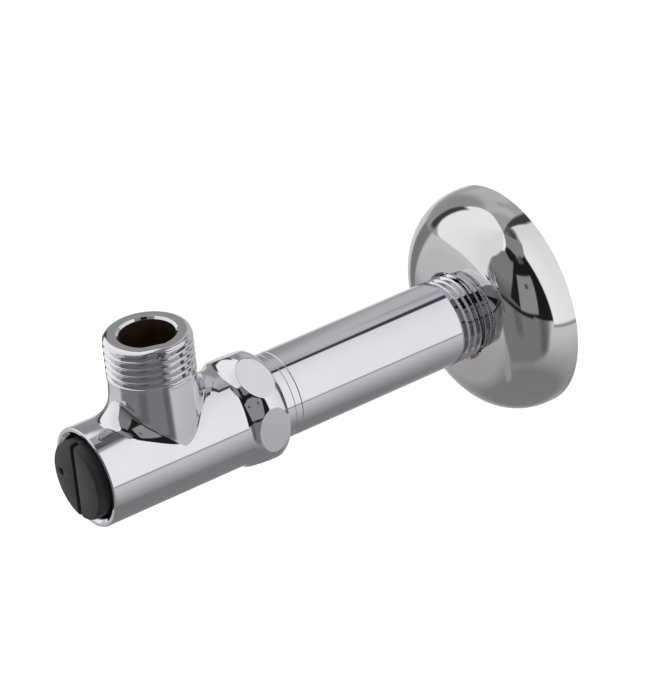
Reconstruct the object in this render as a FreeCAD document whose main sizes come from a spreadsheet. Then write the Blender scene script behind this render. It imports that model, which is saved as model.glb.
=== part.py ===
import FreeCAD, Part
import math
import os

import Sketcher

# Angle shut-off valve with a long inlet tube and a wall flange, in millimetres.
# The valve axis runs along Y with the wall plane at Y = 0 and the room towards -Y, Z is up.
# Each piece is drawn about the point where the outlet axis meets the valve axis,
# and its placement moves that point out from the wall.

# Driving sizes, each set by itself
SIZES = {
    "wall_to_outlet": 101.0,
    "front_reach": 20.7,
    "outlet_height": 30.3,
    "pipe_thread_radius": 10.4775,
    # clearances and small edges
    "running_gap": 0.05,
    "seal_gap": 0.03,
    "edge_break": 0.3,
    # radii of the headwork, from the ceramic discs outwards
    "housing_cavity_radius": 6.5,
    "ceramic_gap": 0.3,
    "housing_wall": 1.0,
    "flow_gap": 1.6,
    "head_thread_step": 0.2,
    "head_lip": 0.6,
    "recess_gap": 0.5,
    "front_wall": 1.85,
    # lengths of the headwork, from the front face inwards
    "rim_chamfer": 0.9,
    "recess_depth": 7.1,
    "head_thickness": 2.3,
    "head_thread_length": 6.4,
    "thread_run_out": 0.4,
    "journal_length": 10.0,
    "spanner_slot_width": 2.4,
    "spanner_slot_depth": 1.2,
    "window_width": 9.0,
    "window_margin": 1.5,
    "window_step": 0.4,
    # seal rings and their grooves
    "seal_depth": 1.2,
    "spindle_seal_depth": 1.05,
    "groove_slack": 0.4,
    "groove_land": 0.6,
    "spindle_seal_start": 2.4,
    "spindle_seal_spacing": 3.6,
    # spindle
    "journal_radius": 3.6,
    "collar_step": 0.8,
    "collar_thickness": 1.0,
    "washer_thickness": 0.5,
    "stem_radius": 2.6,
    "stem_slope": 0.6,
    "stem_tip": 0.35,
    "clip_thickness": 0.6,
    "clip_overhang": 1.3,
    "clip_groove_depth": 0.7,
    "clip_mouth": 4.6,
    "drive_square": 4.2,
    # quarter-turn stops and the drive of the moving disc
    "plate_position": 0.2,
    "plate_thickness": 2.2,
    "stop_height": 1.4,
    "stop_half_angle": 15.0,
    "stop_gap": 0.5,
    "stop_clearance": 0.25,
    "dog_gap": 0.4,
    "dog_half_angle": 27.0,
    "dog_angle": 45.0,
    "tang_width": 2.0,
    "tang_height": 1.1,
    # ceramic discs and seat
    "ceramic_thickness": 3.2,
    "port_inner_radius": 2.1,
    "port_rim": 1.2,
    "port_half_angle": 40.0,
    "holding_ear_width": 2.9,
    "holding_ear_inset": 0.2,
    "holding_ear_step": 0.7,
    "gasket_thickness": 1.0,
    "gasket_lip": 0.2,
    "seat_margin": 0.1,
    "seat_land": 0.3,
    "seat_thickness": 3.2,
    "housing_end_gap": 0.6,
    # slotted disc
    "disc_rim_gap": 0.75,
    "disc_stand": 2.6,
    "disc_thickness": 5.4,
    "disc_edge": 0.9,
    "disc_slot_width": 1.5,
    "disc_slot_depth": 1.9,
    "disc_web": 1.0,
    "disc_hub_wall": 1.0,
    "dimple_radius": 0.95,
    "dimple_depth": 0.6,
    "dimple_inset": 3.55,
    # outlet branch
    "branch_fillet": 5.4,
    "branch_straight": 2.05,
    "branch_root_step": 0.65,
    "branch_top_step": 0.28,
    "outlet_shoulder": 1.5,
    "outlet_bore_radius": 6.65,
    "outlet_bore_chamfer": 0.55,
    "outlet_bore_start": 3.0,
    # hexagon collar and neck
    "flat_step": 0.75,
    "collar_length": 11.5,
    "collar_flare": 5.0,
    "collar_flare_rise": 0.53,
    "crown_height": 1.25,
    "crown_bend": 7.3,
    "crown_front_drop": 0.776,
    "crown_back_drop": 1.5,
    "crown_back_length": 4.6,
    "collar_edge": 0.25,
    "neck_length": 5.0,
    "neck_step": 0.06,
    "neck_ring_step": 0.02,
    "neck_ring_length": 1.7,
    "neck_groove_depth": 0.08,
    "neck_edge": 0.1,
    # inlet chamber and the tube's spigot
    "inlet_chamber_length": 4.2,
    "inlet_chamber_slope": 0.6,
    "spigot_gap": 1.0,
    "spigot_step": 2.0,
    "pilot_step": 0.6,
    "pilot_length": 4.4,
    "chamber_step": 0.9,
    "spigot_thread_length": 10.4,
    "tube_groove_land": 1.3,
    # tube and inlet thread
    "tube_step": 0.0225,
    "tube_bore_wall": 1.0,
    "tube_edge": 0.4,
    "exposed_thread": 5.2,
    "relief_depth": 1.2,
    "relief_width": 0.4,
    "thread_lead": 0.6,
    "inlet_thread_reach": 9.5,
    "inlet_thread_chamfer": 0.9,
    # wall flange
    "flange_depth": 15.5,
    "flange_radius": 28.05,
    "flange_shoulder": 8.75,
    "flange_bend": 13.7,
    "flange_skirt": 2.0,
    "flange_wall": 1.2,
    "flange_hole_gap": 0.6,
    "flange_collar_depth": 4.0,
}

HEX_SIDES = 6
TWO_SIDES = 2
HALF_SIDE_RATIO = 0.7
FULL_TURN = 360.0
QUARTER_TURN = 90.0
# Room that a cut takes past the face it starts from, and a join takes into its base
BEYOND = 1.0
OVERLAP = 0.2
MIN_VOLUME = 0.1
ABOVE = "above"
BELOW = "below"
SIDE_SIGN = {ABOVE: 1, BELOW: -1}

doc = FreeCAD.newDocument("shut_off_valve")
sheet = doc.addObject("Spreadsheet::Sheet", "sizes")
for row, (alias, number) in enumerate(SIZES.items(), start=1):
    sheet.set("A" + str(row), alias)
    sheet.set("B" + str(row), str(number))
    sheet.setAlias("B" + str(row), alias)
doc.recompute()


class Size:
    """A length that knows its number and the sheet formula it comes from."""

    def __init__(self, number, formula):
        self.number = number
        self.formula = formula

    def __add__(self, other):
        other = as_size(other)
        return Size(self.number + other.number, "(" + self.formula + " + " + other.formula + ")")

    def __sub__(self, other):
        other = as_size(other)
        return Size(self.number - other.number, "(" + self.formula + " - " + other.formula + ")")

    def __mul__(self, factor):
        return Size(self.number * factor, "(" + self.formula + " * " + str(factor) + ")")

    def __neg__(self):
        return Size(-self.number, "(0 - " + self.formula + ")")


def as_size(value):
    if isinstance(value, Size):
        return value
    return Size(float(value), str(value))


def size(alias):
    return Size(SIZES[alias], "sizes." + alias)


def polar(radius, degrees):
    """Corner at a radius and an angle from the local x axis."""
    angle = math.radians(degrees.number)
    turn = "((" + degrees.formula + ") * 1 deg)"
    across = Size(radius.number * math.cos(angle), "(" + radius.formula + " * cos" + turn + ")")
    along = Size(radius.number * math.sin(angle), "(" + radius.formula + " * sin" + turn + ")")
    return (across, along)


# Radii that follow from the driving sizes
CAVITY = size("housing_cavity_radius")
HOUSING = CAVITY + size("housing_wall")
CHAMBER = HOUSING + size("flow_gap")
HEAD_THREAD = CHAMBER + size("head_thread_step")
HEAD = HEAD_THREAD + size("head_lip")
RECESS = HEAD + size("recess_gap")
BARREL = RECESS + size("front_wall")
CERAMIC = CAVITY - size("ceramic_gap")
PORT_OUTER = CERAMIC - size("port_rim")
SEAT_HOLE = PORT_OUTER + size("seat_margin")
JOURNAL = size("journal_radius")
JOURNAL_BORE = JOURNAL + size("running_gap")
SPINDLE_COLLAR = CAVITY - size("collar_step")
STOP_INNER = CAVITY - size("stop_height")
PLATE_CORE = STOP_INNER - size("stop_gap")
FLAT_DISTANCE = BARREL + size("flat_step")
CROWN = FLAT_DISTANCE + size("crown_height")
PIPE_THREAD = size("pipe_thread_radius")
TUBE = PIPE_THREAD + size("tube_step")
SPIGOT_THREAD = TUBE - size("spigot_step")
PILOT = SPIGOT_THREAD - size("pilot_step")
PILOT_BORE = PILOT + size("running_gap")
TUBE_GROOVE = PILOT_BORE - size("seal_depth")
TUBE_BORE = TUBE_GROOVE - size("tube_bore_wall")
BRANCH_TOP = PIPE_THREAD - size("branch_top_step")
BRANCH_ROOT = BARREL - size("branch_root_step")
BRANCH_HEIGHT = BARREL + size("branch_fillet") + size("branch_straight")
OUTLET_HEIGHT = size("outlet_height")

# Places along the valve axis, from the front to the wall
FRONT = -size("front_reach")
HEAD_SEAT = FRONT + size("recess_depth")
HEAD_FRONT = HEAD_SEAT - size("head_thickness")
CLIP_BACK = HEAD_FRONT - size("running_gap")
CLIP_FRONT = CLIP_BACK - size("clip_thickness")
STEM_FRONT = CLIP_FRONT - size("stem_tip")
DISC_FRONT = FRONT - size("disc_stand")
DISC_BACK = DISC_FRONT + size("disc_thickness")
DRIVE_FRONT = DISC_FRONT + size("disc_slot_depth") + size("disc_web")
HOUSING_SHOULDER = HEAD_FRONT + size("journal_length")
WASHER_FRONT = HOUSING_SHOULDER + size("running_gap")
COLLAR_FRONT = WASHER_FRONT + size("washer_thickness")
COLLAR_BACK = COLLAR_FRONT + size("collar_thickness")
PLATE_FRONT = size("plate_position")
MOVING_DISC_FRONT = PLATE_FRONT + size("plate_thickness")
FIXED_DISC_FRONT = MOVING_DISC_FRONT + size("ceramic_thickness")
GASKET_FRONT = FIXED_DISC_FRONT + size("ceramic_thickness")
SEAT = GASKET_FRONT + size("gasket_thickness")
SEAT_BACK = SEAT + size("seat_thickness")
HOUSING_END = SEAT - size("housing_end_gap")
SOCKET = SEAT_BACK + size("inlet_chamber_length")
SPIGOT_START = SOCKET + size("spigot_gap")
PILOT_END = SPIGOT_START + size("pilot_length")
NECK_END = PILOT_END + size("spigot_thread_length")
HEX_END = NECK_END - size("neck_length")
HEX_START = HEX_END - size("collar_length")
WALL = size("wall_to_outlet")
FLANGE_FACE = WALL - size("flange_depth")
TUBE_END = FLANGE_FACE - size("exposed_thread")


# Modelling helpers
def new_body(name):
    body = doc.addObject("PartDesign::Body", name)
    body.Label = name
    body.setExpression("Placement.Base.y", "0 - sizes.wall_to_outlet")
    return body


def origin_item(body, role):
    return [item for item in body.Origin.OriginFeatures if item.Role == role][0]


def new_sketch(body, name, plane_role, offset=None):
    sketch = body.newObject("Sketcher::SketchObject", name)
    sketch.AttachmentSupport = [(origin_item(body, plane_role), "")]
    sketch.MapMode = "FlatFace"
    if offset is not None:
        sketch.AttachmentOffset = FreeCAD.Placement(
            FreeCAD.Vector(0, 0, offset.number), FreeCAD.Rotation()
        )
        sketch.setExpression("AttachmentOffset.Base.z", offset.formula)
    return sketch


def cross_sketch(body, name, place):
    """Sketch across the valve axis at a place along it; local x is X and local y is Z."""
    return new_sketch(body, name, "XZ_Plane", -place)


def fix_point(sketch, curve, end, x, y):
    """Bind one end of a curve to its sheet formulas; a missing one stays free."""
    if x is not None:
        index = sketch.addConstraint(Sketcher.Constraint("DistanceX", -1, 1, curve, end, x.number))
        sketch.setExpression("Constraints[" + str(index) + "]", x.formula)
    if y is not None:
        index = sketch.addConstraint(Sketcher.Constraint("DistanceY", -1, 1, curve, end, y.number))
        sketch.setExpression("Constraints[" + str(index) + "]", y.formula)


class Bend:
    """Arc that leads from one corner of an outline to the next."""

    def __init__(self, x, y, radius, anticlockwise):
        self.x = as_size(x)
        self.y = as_size(y)
        self.radius = as_size(radius)
        self.anticlockwise = anticlockwise

    def angle_of(self, spot):
        return math.atan2(spot.y - self.y.number, spot.x - self.x.number)

    def height_at(self, x, side):
        reach = x.number - self.x.number
        return self.y.number + side * math.sqrt(self.radius.number**2 - reach**2)


def read_corners(points):
    corners = []
    for point in points:
        y = point[1] if point[1] in (ABOVE, BELOW) else as_size(point[1])
        bend = point[2] if len(point) > 2 else None
        corners.append((as_size(point[0]), y, bend))
    return corners


def bend_at(corners, index):
    """The bend that starts or ends at a corner, if there is one."""
    here = corners[index][2]
    before = corners[index - 1][2]
    return here if here is not None else before


def corner_spots(corners):
    """Starting positions of the corners; a side stands where the bend meets the given x."""
    spots = []
    for index, (x, y, _) in enumerate(corners):
        if y in (ABOVE, BELOW):
            height = bend_at(corners, index).height_at(x, SIDE_SIGN[y])
        else:
            height = y.number
        spots.append(FreeCAD.Vector(x.number, height, 0))
    return spots


def add_curve(sketch, start, end, bend):
    """Add one line or arc and tell which of its ends is the start."""
    if bend is None:
        sketch.addGeometry(Part.LineSegment(start, end), False)
        return (1, 2)
    center = FreeCAD.Vector(bend.x.number, bend.y.number, 0)
    ring = Part.Circle(center, FreeCAD.Vector(0, 0, 1), bend.radius.number)
    first, last = bend.angle_of(start), bend.angle_of(end)
    if not bend.anticlockwise:
        first, last = last, first
    if last < first:
        last += 2 * math.pi
    sketch.addGeometry(Part.ArcOfCircle(ring, first, last), False)
    return (1, 2) if bend.anticlockwise else (2, 1)


def fix_corner(sketch, curve, end, corner, spot, bend):
    """A corner on a bend needs one formula only, across the bend's radius."""
    x, y, _ = corner
    if y in (ABOVE, BELOW):
        fix_point(sketch, curve, end, x, None)
    elif bend is None:
        fix_point(sketch, curve, end, x, y)
    elif abs(spot.x - bend.x.number) > abs(spot.y - bend.y.number):
        fix_point(sketch, curve, end, None, y)
    else:
        fix_point(sketch, curve, end, x, None)


def fix_radius(sketch, curve, radius):
    index = sketch.addConstraint(Sketcher.Constraint("Radius", curve, radius.number))
    sketch.setExpression("Constraints[" + str(index) + "]", radius.formula)


def outline(sketch, points):
    """Closed outline through points of x, y and, where an arc follows, its bend."""
    corners = read_corners(points)
    spots = corner_spots(corners)
    count = len(corners)
    ends = []
    for index in range(count):
        following = (index + 1) % count
        ends.append(add_curve(sketch, spots[index], spots[following], corners[index][2]))
    for index in range(count):
        following = (index + 1) % count
        sketch.addConstraint(
            Sketcher.Constraint("Coincident", index, ends[index][1], following, ends[following][0])
        )
    for index, corner in enumerate(corners):
        bend = corner[2]
        if bend is not None:
            fix_point(sketch, index, 3, bend.x, bend.y)
            fix_radius(sketch, index, bend.radius)
    for index, corner in enumerate(corners):
        fix_corner(sketch, index, ends[index][0], corner, spots[index], bend_at(corners, index))


def circle(sketch, x, y, radius):
    x, y = as_size(x), as_size(y)
    center = FreeCAD.Vector(x.number, y.number, 0)
    sketch.addGeometry(Part.Circle(center, FreeCAD.Vector(0, 0, 1), radius.number), False)
    fix_point(sketch, 0, 3, x, y)
    fix_radius(sketch, 0, radius)


def rectangle(x_low, x_high, y_low, y_high):
    return [(x_low, y_low), (x_high, y_low), (x_high, y_high), (x_low, y_high)]


def cross_bar(half_width, half_height):
    return rectangle(-half_width, half_width, -half_height, half_height)


def sector(inner, outer, middle, half_angle):
    """Outline of a ring sector between two radii."""
    first, last = middle - half_angle, middle + half_angle
    return [
        polar(outer, first) + (Bend(0, 0, outer, True),),
        polar(outer, last),
        polar(inner, last) + (Bend(0, 0, inner, False),),
        polar(inner, first),
    ]


def revolve(body, name, sketch, cut=False):
    kind = "PartDesign::Groove" if cut else "PartDesign::Revolution"
    feature = body.newObject(kind, name)
    feature.Profile = (sketch, [""])
    feature.ReferenceAxis = (sketch, ["V_Axis"])
    feature.Angle = FULL_TURN
    return feature


def turned(body, name, points, plane_role="XY_Plane", cut=False):
    """Solid or cut of revolution; the outline holds pairs of radius and height."""
    sketch = new_sketch(body, name + "_outline", plane_role)
    outline(sketch, points)
    return revolve(body, name, sketch, cut)


def prism(body, name, sketch, length, cut=False):
    """Pad or pocket of a given whole length, centred on the sketch plane."""
    kind = "PartDesign::Pocket" if cut else "PartDesign::Pad"
    feature = body.newObject(kind, name)
    feature.Profile = (sketch, [""])
    feature.SideType = "Symmetric"
    feature.Length = length.number
    feature.setExpression("Length", length.formula)
    return feature


def bar_between(body, name, points, first, last, cut=False):
    """Prism of an outline across the valve axis, from one place along it to another."""
    sketch = cross_sketch(body, name + "_outline", (first + last) * 0.5)
    outline(sketch, points)
    return prism(body, name, sketch, last - first, cut)


def repeat_about_axis(body, name, feature, count):
    pattern = body.newObject("PartDesign::PolarPattern", name)
    pattern.Originals = [feature]
    pattern.Axis = (origin_item(body, "Y_Axis"), [""])
    pattern.Angle = FULL_TURN
    pattern.Occurrences = count
    body.Tip = pattern
    return pattern


# Valve body: turned barrel, branch with its blend, hexagon collar and neck
def valve_body():
    body = new_body("valve_body")
    edge = size("edge_break")
    inside = HEX_START + BEYOND
    turned(
        body,
        "barrel",
        [(0, FRONT), (BARREL - edge, FRONT), (BARREL, FRONT + edge), (BARREL, inside), (0, inside)],
    )
    add_branch(body)
    add_outlet_thread(body)
    add_collar(body)
    cut_collar_flats(body)
    cut_body_bore(body)
    cut_outlet_bore(body)
    return body


def add_branch(body):
    points = [(0, 0), (BRANCH_ROOT, 0), (BRANCH_TOP, BRANCH_HEIGHT), (0, BRANCH_HEIGHT)]
    turned(body, "branch", points, "XZ_Plane")
    doc.recompute()
    base = body.getObject("branch")
    blend = body.newObject("PartDesign::Fillet", "branch_blend")
    blend.Base = (base, branch_blend_edges(base.Shape, BARREL.number))
    blend.Radius = size("branch_fillet").number
    blend.setExpression("Radius", size("branch_fillet").formula)
    doc.recompute()


def branch_blend_edges(shape, barrel_radius):
    """Edges where the branch leaves the barrel, found by where they lie."""
    names = []
    for index, edge in enumerate(shape.Edges, start=1):
        first, last = edge.ParameterRange
        spots = [edge.valueAt(first + (last - first) * step / 4) for step in range(5)]
        on_barrel = all(abs(math.hypot(spot.x, spot.z) - barrel_radius) < 0.01 for spot in spots)
        within = all(math.hypot(spot.x, spot.y) < barrel_radius for spot in spots)
        if on_barrel and within:
            names.append("Edge" + str(index))
    return names


def add_outlet_thread(body):
    start = BRANCH_HEIGHT
    edge = size("edge_break") * 0.5
    shoulder = size("outlet_shoulder")
    core = PIPE_THREAD - shoulder
    bend_height = OUTLET_HEIGHT - shoulder
    turned(
        body,
        "outlet_thread",
        [
            (0, start - BEYOND),
            (core, start - BEYOND),
            (core, start),
            (PIPE_THREAD - edge, start),
            (PIPE_THREAD, start + edge),
            (PIPE_THREAD, bend_height, Bend(core, bend_height, shoulder, True)),
            (core, OUTLET_HEIGHT),
            (0, OUTLET_HEIGHT),
        ],
        "XZ_Plane",
    )


def add_collar(body):
    neck = TUBE - size("neck_step")
    ring = TUBE - size("neck_ring_step")
    groove_depth = size("neck_groove_depth")
    ring_start = NECK_END - size("neck_ring_length")
    edge = size("neck_edge")
    flare = size("collar_flare")
    bend = size("crown_bend")
    crown_middle = HEX_END - size("crown_back_length")
    crown_back = CROWN - size("crown_back_drop")
    turned(
        body,
        "collar",
        [
            (0, HEX_START),
            (BARREL, HEX_START, Bend(BARREL + flare, HEX_START, flare, False)),
            (BARREL + size("collar_flare_rise"), ABOVE),
            (
                CROWN - size("crown_front_drop"),
                BELOW,
                Bend(CROWN - bend, crown_middle, bend, True),
            ),
            (crown_back, ABOVE),
            (crown_back - size("collar_edge"), HEX_END),
            (neck, HEX_END),
            (neck, ring_start - groove_depth * 2),
            (neck - groove_depth, ring_start - groove_depth),
            (ring, ring_start),
            (ring, NECK_END - edge),
            (ring - edge, NECK_END),
            (0, NECK_END),
        ],
    )


def cut_collar_flats(body):
    half_side = CROWN * HALF_SIDE_RATIO
    points = rectangle(FLAT_DISTANCE, CROWN + BEYOND, -half_side, half_side)
    flat = bar_between(body, "collar_flat", points, HEX_START, HEX_END + BEYOND, True)
    repeat_about_axis(body, "collar_flats", flat, HEX_SIDES)


def cut_body_bore(body):
    chamfer = size("rim_chamfer")
    inlet = PILOT - size("chamber_step")
    slope = size("inlet_chamber_slope")
    thread = SPIGOT_THREAD + size("running_gap")
    thread_end = HEAD_SEAT + size("head_thread_length")
    turned(
        body,
        "bore",
        [
            (0, FRONT - BEYOND),
            (RECESS + chamfer + BEYOND, FRONT - BEYOND),
            (RECESS, FRONT + chamfer),
            (RECESS, HEAD_SEAT),
            (HEAD_THREAD, HEAD_SEAT),
            (HEAD_THREAD, thread_end),
            (CHAMBER, thread_end),
            (CHAMBER, SEAT),
            (SEAT_HOLE, SEAT),
            (SEAT_HOLE, SEAT_BACK),
            (inlet, SEAT_BACK + (inlet - SEAT_HOLE) * 0.5 + slope),
            (inlet, SOCKET),
            (PILOT_BORE, SOCKET),
            (PILOT_BORE, PILOT_END),
            (thread, PILOT_END + size("thread_run_out")),
            (thread, NECK_END + BEYOND),
            (0, NECK_END + BEYOND),
        ],
        cut=True,
    )


def cut_outlet_bore(body):
    bore = size("outlet_bore_radius")
    chamfer = size("outlet_bore_chamfer")
    start = size("outlet_bore_start")
    turned(
        body,
        "outlet_bore",
        [
            (0, start),
            (bore, start),
            (bore, OUTLET_HEIGHT - chamfer),
            (bore + chamfer + BEYOND, OUTLET_HEIGHT + BEYOND),
            (0, OUTLET_HEIGHT + BEYOND),
        ],
        "XZ_Plane",
        cut=True,
    )


# Inlet tube: spigot, plain tube and the pipe thread that enters the wall
def inlet_tube():
    body = new_body("inlet_tube")
    bore = TUBE_BORE
    edge = size("edge_break")
    groove_start = SPIGOT_START + size("tube_groove_land")
    groove_end = groove_start + size("seal_depth") + size("groove_slack")
    tube_edge = size("tube_edge")
    end_edge = tube_edge * 0.5
    relief = TUBE - size("relief_depth")
    relief_end = TUBE_END + size("relief_width")
    reach = WALL + size("inlet_thread_reach")
    chamfer = size("inlet_thread_chamfer")
    turned(
        body,
        "tube",
        [
            (bore, SPIGOT_START + edge),
            (bore + edge, SPIGOT_START),
            (PILOT - edge, SPIGOT_START),
            (PILOT, SPIGOT_START + edge),
            (PILOT, groove_start),
            (TUBE_GROOVE, groove_start),
            (TUBE_GROOVE, groove_end),
            (PILOT, groove_end),
            (PILOT, PILOT_END),
            (SPIGOT_THREAD, PILOT_END + size("thread_run_out") + edge),
            (SPIGOT_THREAD, NECK_END),
            (TUBE - tube_edge, NECK_END),
            (TUBE, NECK_END + tube_edge),
            (TUBE, TUBE_END - end_edge),
            (TUBE - end_edge, TUBE_END),
            (relief, TUBE_END),
            (relief, relief_end),
            (PIPE_THREAD, relief_end + size("thread_lead")),
            (PIPE_THREAD, reach - chamfer),
            (PIPE_THREAD - chamfer, reach),
            (bore + edge, reach),
            (bore, reach - edge),
        ],
    )
    return body


# Wall flange: shallow dish, rounded shoulder and skirt, all one wall thick
def wall_flange():
    body = new_body("wall_flange")
    hole = TUBE + size("flange_hole_gap")
    wall = size("flange_wall")
    rim = size("flange_radius")
    crease = rim - size("flange_shoulder")
    skirt = WALL - size("flange_skirt")
    bend = size("flange_bend")
    inner_bend = bend - wall
    center = rim - bend
    collar_end = FLANGE_FACE + size("flange_collar_depth")
    turned(
        body,
        "flange",
        [
            (hole, FLANGE_FACE),
            (crease, BELOW, Bend(center, skirt, bend, True)),
            (rim, skirt),
            (rim, WALL),
            (rim - wall, WALL),
            (rim - wall, skirt, Bend(center, skirt, inner_bend, False)),
            (crease, BELOW),
            (hole + wall, FLANGE_FACE + wall + size("edge_break")),
            (hole + wall, collar_end),
            (hole, collar_end),
        ],
    )
    return body


# Headwork housing: the insert that holds the spindle and the ceramic discs
def headwork_housing():
    body = new_body("headwork_housing")
    edge = size("edge_break")
    thread = HEAD_THREAD - size("running_gap")
    groove = HEAD_THREAD - size("seal_depth")
    groove_start = HEAD_SEAT + size("groove_land")
    groove_end = groove_start + size("seal_depth") + size("groove_slack")
    thread_end = HEAD_SEAT + size("head_thread_length") - size("thread_run_out")
    turned(
        body,
        "housing",
        [
            (JOURNAL_BORE, HEAD_FRONT),
            (HEAD - edge, HEAD_FRONT),
            (HEAD, HEAD_FRONT + edge),
            (HEAD, HEAD_SEAT),
            (thread, HEAD_SEAT),
            (thread, groove_start),
            (groove, groove_start),
            (groove, groove_end),
            (thread, groove_end),
            (thread, thread_end),
            (HOUSING, thread_end),
            (HOUSING, HOUSING_END),
            (CAVITY, HOUSING_END),
            (CAVITY, HOUSING_SHOULDER),
            (JOURNAL_BORE, HOUSING_SHOULDER),
        ],
    )
    add_stop_ribs(body)
    cut_housing_windows(body)
    cut_ear_slots(body)
    cut_spanner_slot(body)
    return body


def add_stop_ribs(body):
    into_wall = CAVITY + size("housing_wall") * 0.5
    points = sector(STOP_INNER, into_wall, as_size(QUARTER_TURN), size("stop_half_angle"))
    clearance = size("stop_clearance")
    first = PLATE_FRONT + clearance
    last = MOVING_DISC_FRONT - clearance
    rib = bar_between(body, "stop_rib", points, first, last)
    repeat_about_axis(body, "stop_ribs", rib, TWO_SIDES)


def cut_housing_windows(body):
    half = size("window_width") * 0.5
    first = HOUSING_SHOULDER + size("window_margin")
    last = PLATE_FRONT - size("window_step")
    sketch = new_sketch(body, "window_outline", "XY_Plane")
    outline(sketch, rectangle(-half, half, first, last))
    prism(body, "windows", sketch, HOUSING * 2 + BEYOND, True)


def cut_ear_slots(body):
    half = size("holding_ear_width") * 0.5 + size("running_gap")
    points = cross_bar(half, HOUSING + BEYOND)
    bar_between(body, "ear_slots", points, FIXED_DISC_FRONT, HOUSING_END + BEYOND, True)


def cut_spanner_slot(body):
    points = cross_bar(HEAD + BEYOND, size("spanner_slot_width") * 0.5)
    last = HEAD_FRONT + size("spanner_slot_depth")
    bar_between(body, "spanner_slot", points, HEAD_FRONT - BEYOND, last, True)


# Spindle: square drive, journal with two seal grooves, collar, stem and dog plate
def seal_places():
    first = HEAD_FRONT + size("spindle_seal_start")
    return (first, first + size("spindle_seal_spacing"))


def groove_in_journal(middle):
    """Corners of one seal groove in the journal."""
    bottom = JOURNAL - size("spindle_seal_depth")
    half = (size("spindle_seal_depth") + size("groove_slack")) * 0.5
    return [
        (JOURNAL, middle - half),
        (bottom, middle - half),
        (bottom, middle + half),
        (JOURNAL, middle + half),
    ]


def spindle():
    body = new_body("spindle")
    edge = size("edge_break")
    clip_groove = JOURNAL - size("clip_groove_depth")
    stem = size("stem_radius")
    first_seal, second_seal = seal_places()
    points = [
        (0, STEM_FRONT),
        (JOURNAL - edge, STEM_FRONT),
        (JOURNAL, STEM_FRONT + edge),
        (JOURNAL, CLIP_FRONT),
        (clip_groove, CLIP_FRONT),
        (clip_groove, CLIP_BACK),
        (JOURNAL, CLIP_BACK),
    ]
    points += groove_in_journal(first_seal) + groove_in_journal(second_seal)
    points += [
        (JOURNAL, COLLAR_FRONT),
        (SPINDLE_COLLAR, COLLAR_FRONT),
        (SPINDLE_COLLAR, COLLAR_BACK),
        (stem, COLLAR_BACK + size("stem_slope")),
        (stem, PLATE_FRONT + OVERLAP),
        (0, PLATE_FRONT + OVERLAP),
    ]
    turned(body, "stem", points)
    add_drive_square(body)
    add_dog_plate(body)
    return body


def add_drive_square(body):
    half = size("drive_square") * 0.5
    bar_between(body, "drive", cross_bar(half, half), DRIVE_FRONT, STEM_FRONT + OVERLAP)


def add_dog_plate(body):
    plate_middle = (PLATE_FRONT + MOVING_DISC_FRONT) * 0.5
    sketch = cross_sketch(body, "plate_outline", plate_middle)
    circle(sketch, 0, 0, PLATE_CORE)
    prism(body, "plate", sketch, size("plate_thickness"))
    dog_radius = CAVITY - size("dog_gap")
    inside = PLATE_CORE - BEYOND
    points = sector(inside, dog_radius, size("dog_angle"), size("dog_half_angle"))
    dog = bar_between(body, "dog", points, PLATE_FRONT, MOVING_DISC_FRONT)
    repeat_about_axis(body, "dogs", dog, TWO_SIDES)
    points = cross_bar(size("tang_width") * 0.5, PLATE_CORE - size("dog_gap"))
    first = MOVING_DISC_FRONT - OVERLAP
    bar_between(body, "tang", points, first, MOVING_DISC_FRONT + size("tang_height"))


# Retaining clip: open ring in the front groove of the spindle
def spindle_clip():
    body = new_body("spindle_clip")
    inner = JOURNAL - size("clip_groove_depth")
    outer = JOURNAL + size("clip_overhang")
    corners = [(inner, CLIP_FRONT), (outer, CLIP_FRONT), (outer, CLIP_BACK), (inner, CLIP_BACK)]
    turned(body, "clip", corners)
    half = size("clip_mouth") * 0.5
    mouth = rectangle(-half, half, -(outer + BEYOND), as_size(-BEYOND))
    bar_between(body, "clip_mouth", mouth, CLIP_FRONT - BEYOND, CLIP_BACK + BEYOND, True)
    return body


# Thrust washer between the spindle collar and the housing shoulder
def thrust_washer():
    body = new_body("thrust_washer")
    turned(
        body,
        "washer",
        [
            (JOURNAL_BORE, WASHER_FRONT),
            (SPINDLE_COLLAR, WASHER_FRONT),
            (SPINDLE_COLLAR, COLLAR_FRONT),
            (JOURNAL_BORE, COLLAR_FRONT),
        ],
    )
    return body


# Ceramic discs: two polished discs with the same pair of sector ports
def cut_ports(body, front):
    points = sector(size("port_inner_radius"), PORT_OUTER, as_size(0), size("port_half_angle"))
    back = front + size("ceramic_thickness")
    port = bar_between(body, "port", points, front - BEYOND, back + BEYOND, True)
    repeat_about_axis(body, "ports", port, TWO_SIDES)


def moving_ceramic_disc():
    body = new_body("moving_ceramic_disc")
    front = MOVING_DISC_FRONT
    back = FIXED_DISC_FRONT - size("running_gap")
    edge = size("edge_break")
    points = [(0, front), (CERAMIC - edge, front), (CERAMIC, front + edge), (CERAMIC, back), (0, back)]
    turned(body, "disc", points)
    cut_ports(body, front)
    half = size("tang_width") * 0.5 + size("running_gap")
    slot_end = front + size("tang_height") + size("running_gap")
    slot = cross_bar(half, CERAMIC + BEYOND)
    bar_between(body, "tang_slot", slot, front - BEYOND, slot_end, True)
    return body


def fixed_ceramic_disc():
    body = new_body("fixed_ceramic_disc")
    front = FIXED_DISC_FRONT
    back = GASKET_FRONT
    outer = CAVITY - size("running_gap")
    edge = size("edge_break")
    points = [(0, front), (outer, front), (outer, back - edge), (outer - edge, back), (0, back)]
    turned(body, "disc", points)
    half = size("holding_ear_width") * 0.5
    reach = HOUSING - size("holding_ear_inset")
    first = front + size("holding_ear_step")
    bar_between(body, "holding_ears", cross_bar(half, reach), first, back)
    cut_ports(body, front)
    return body


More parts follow.
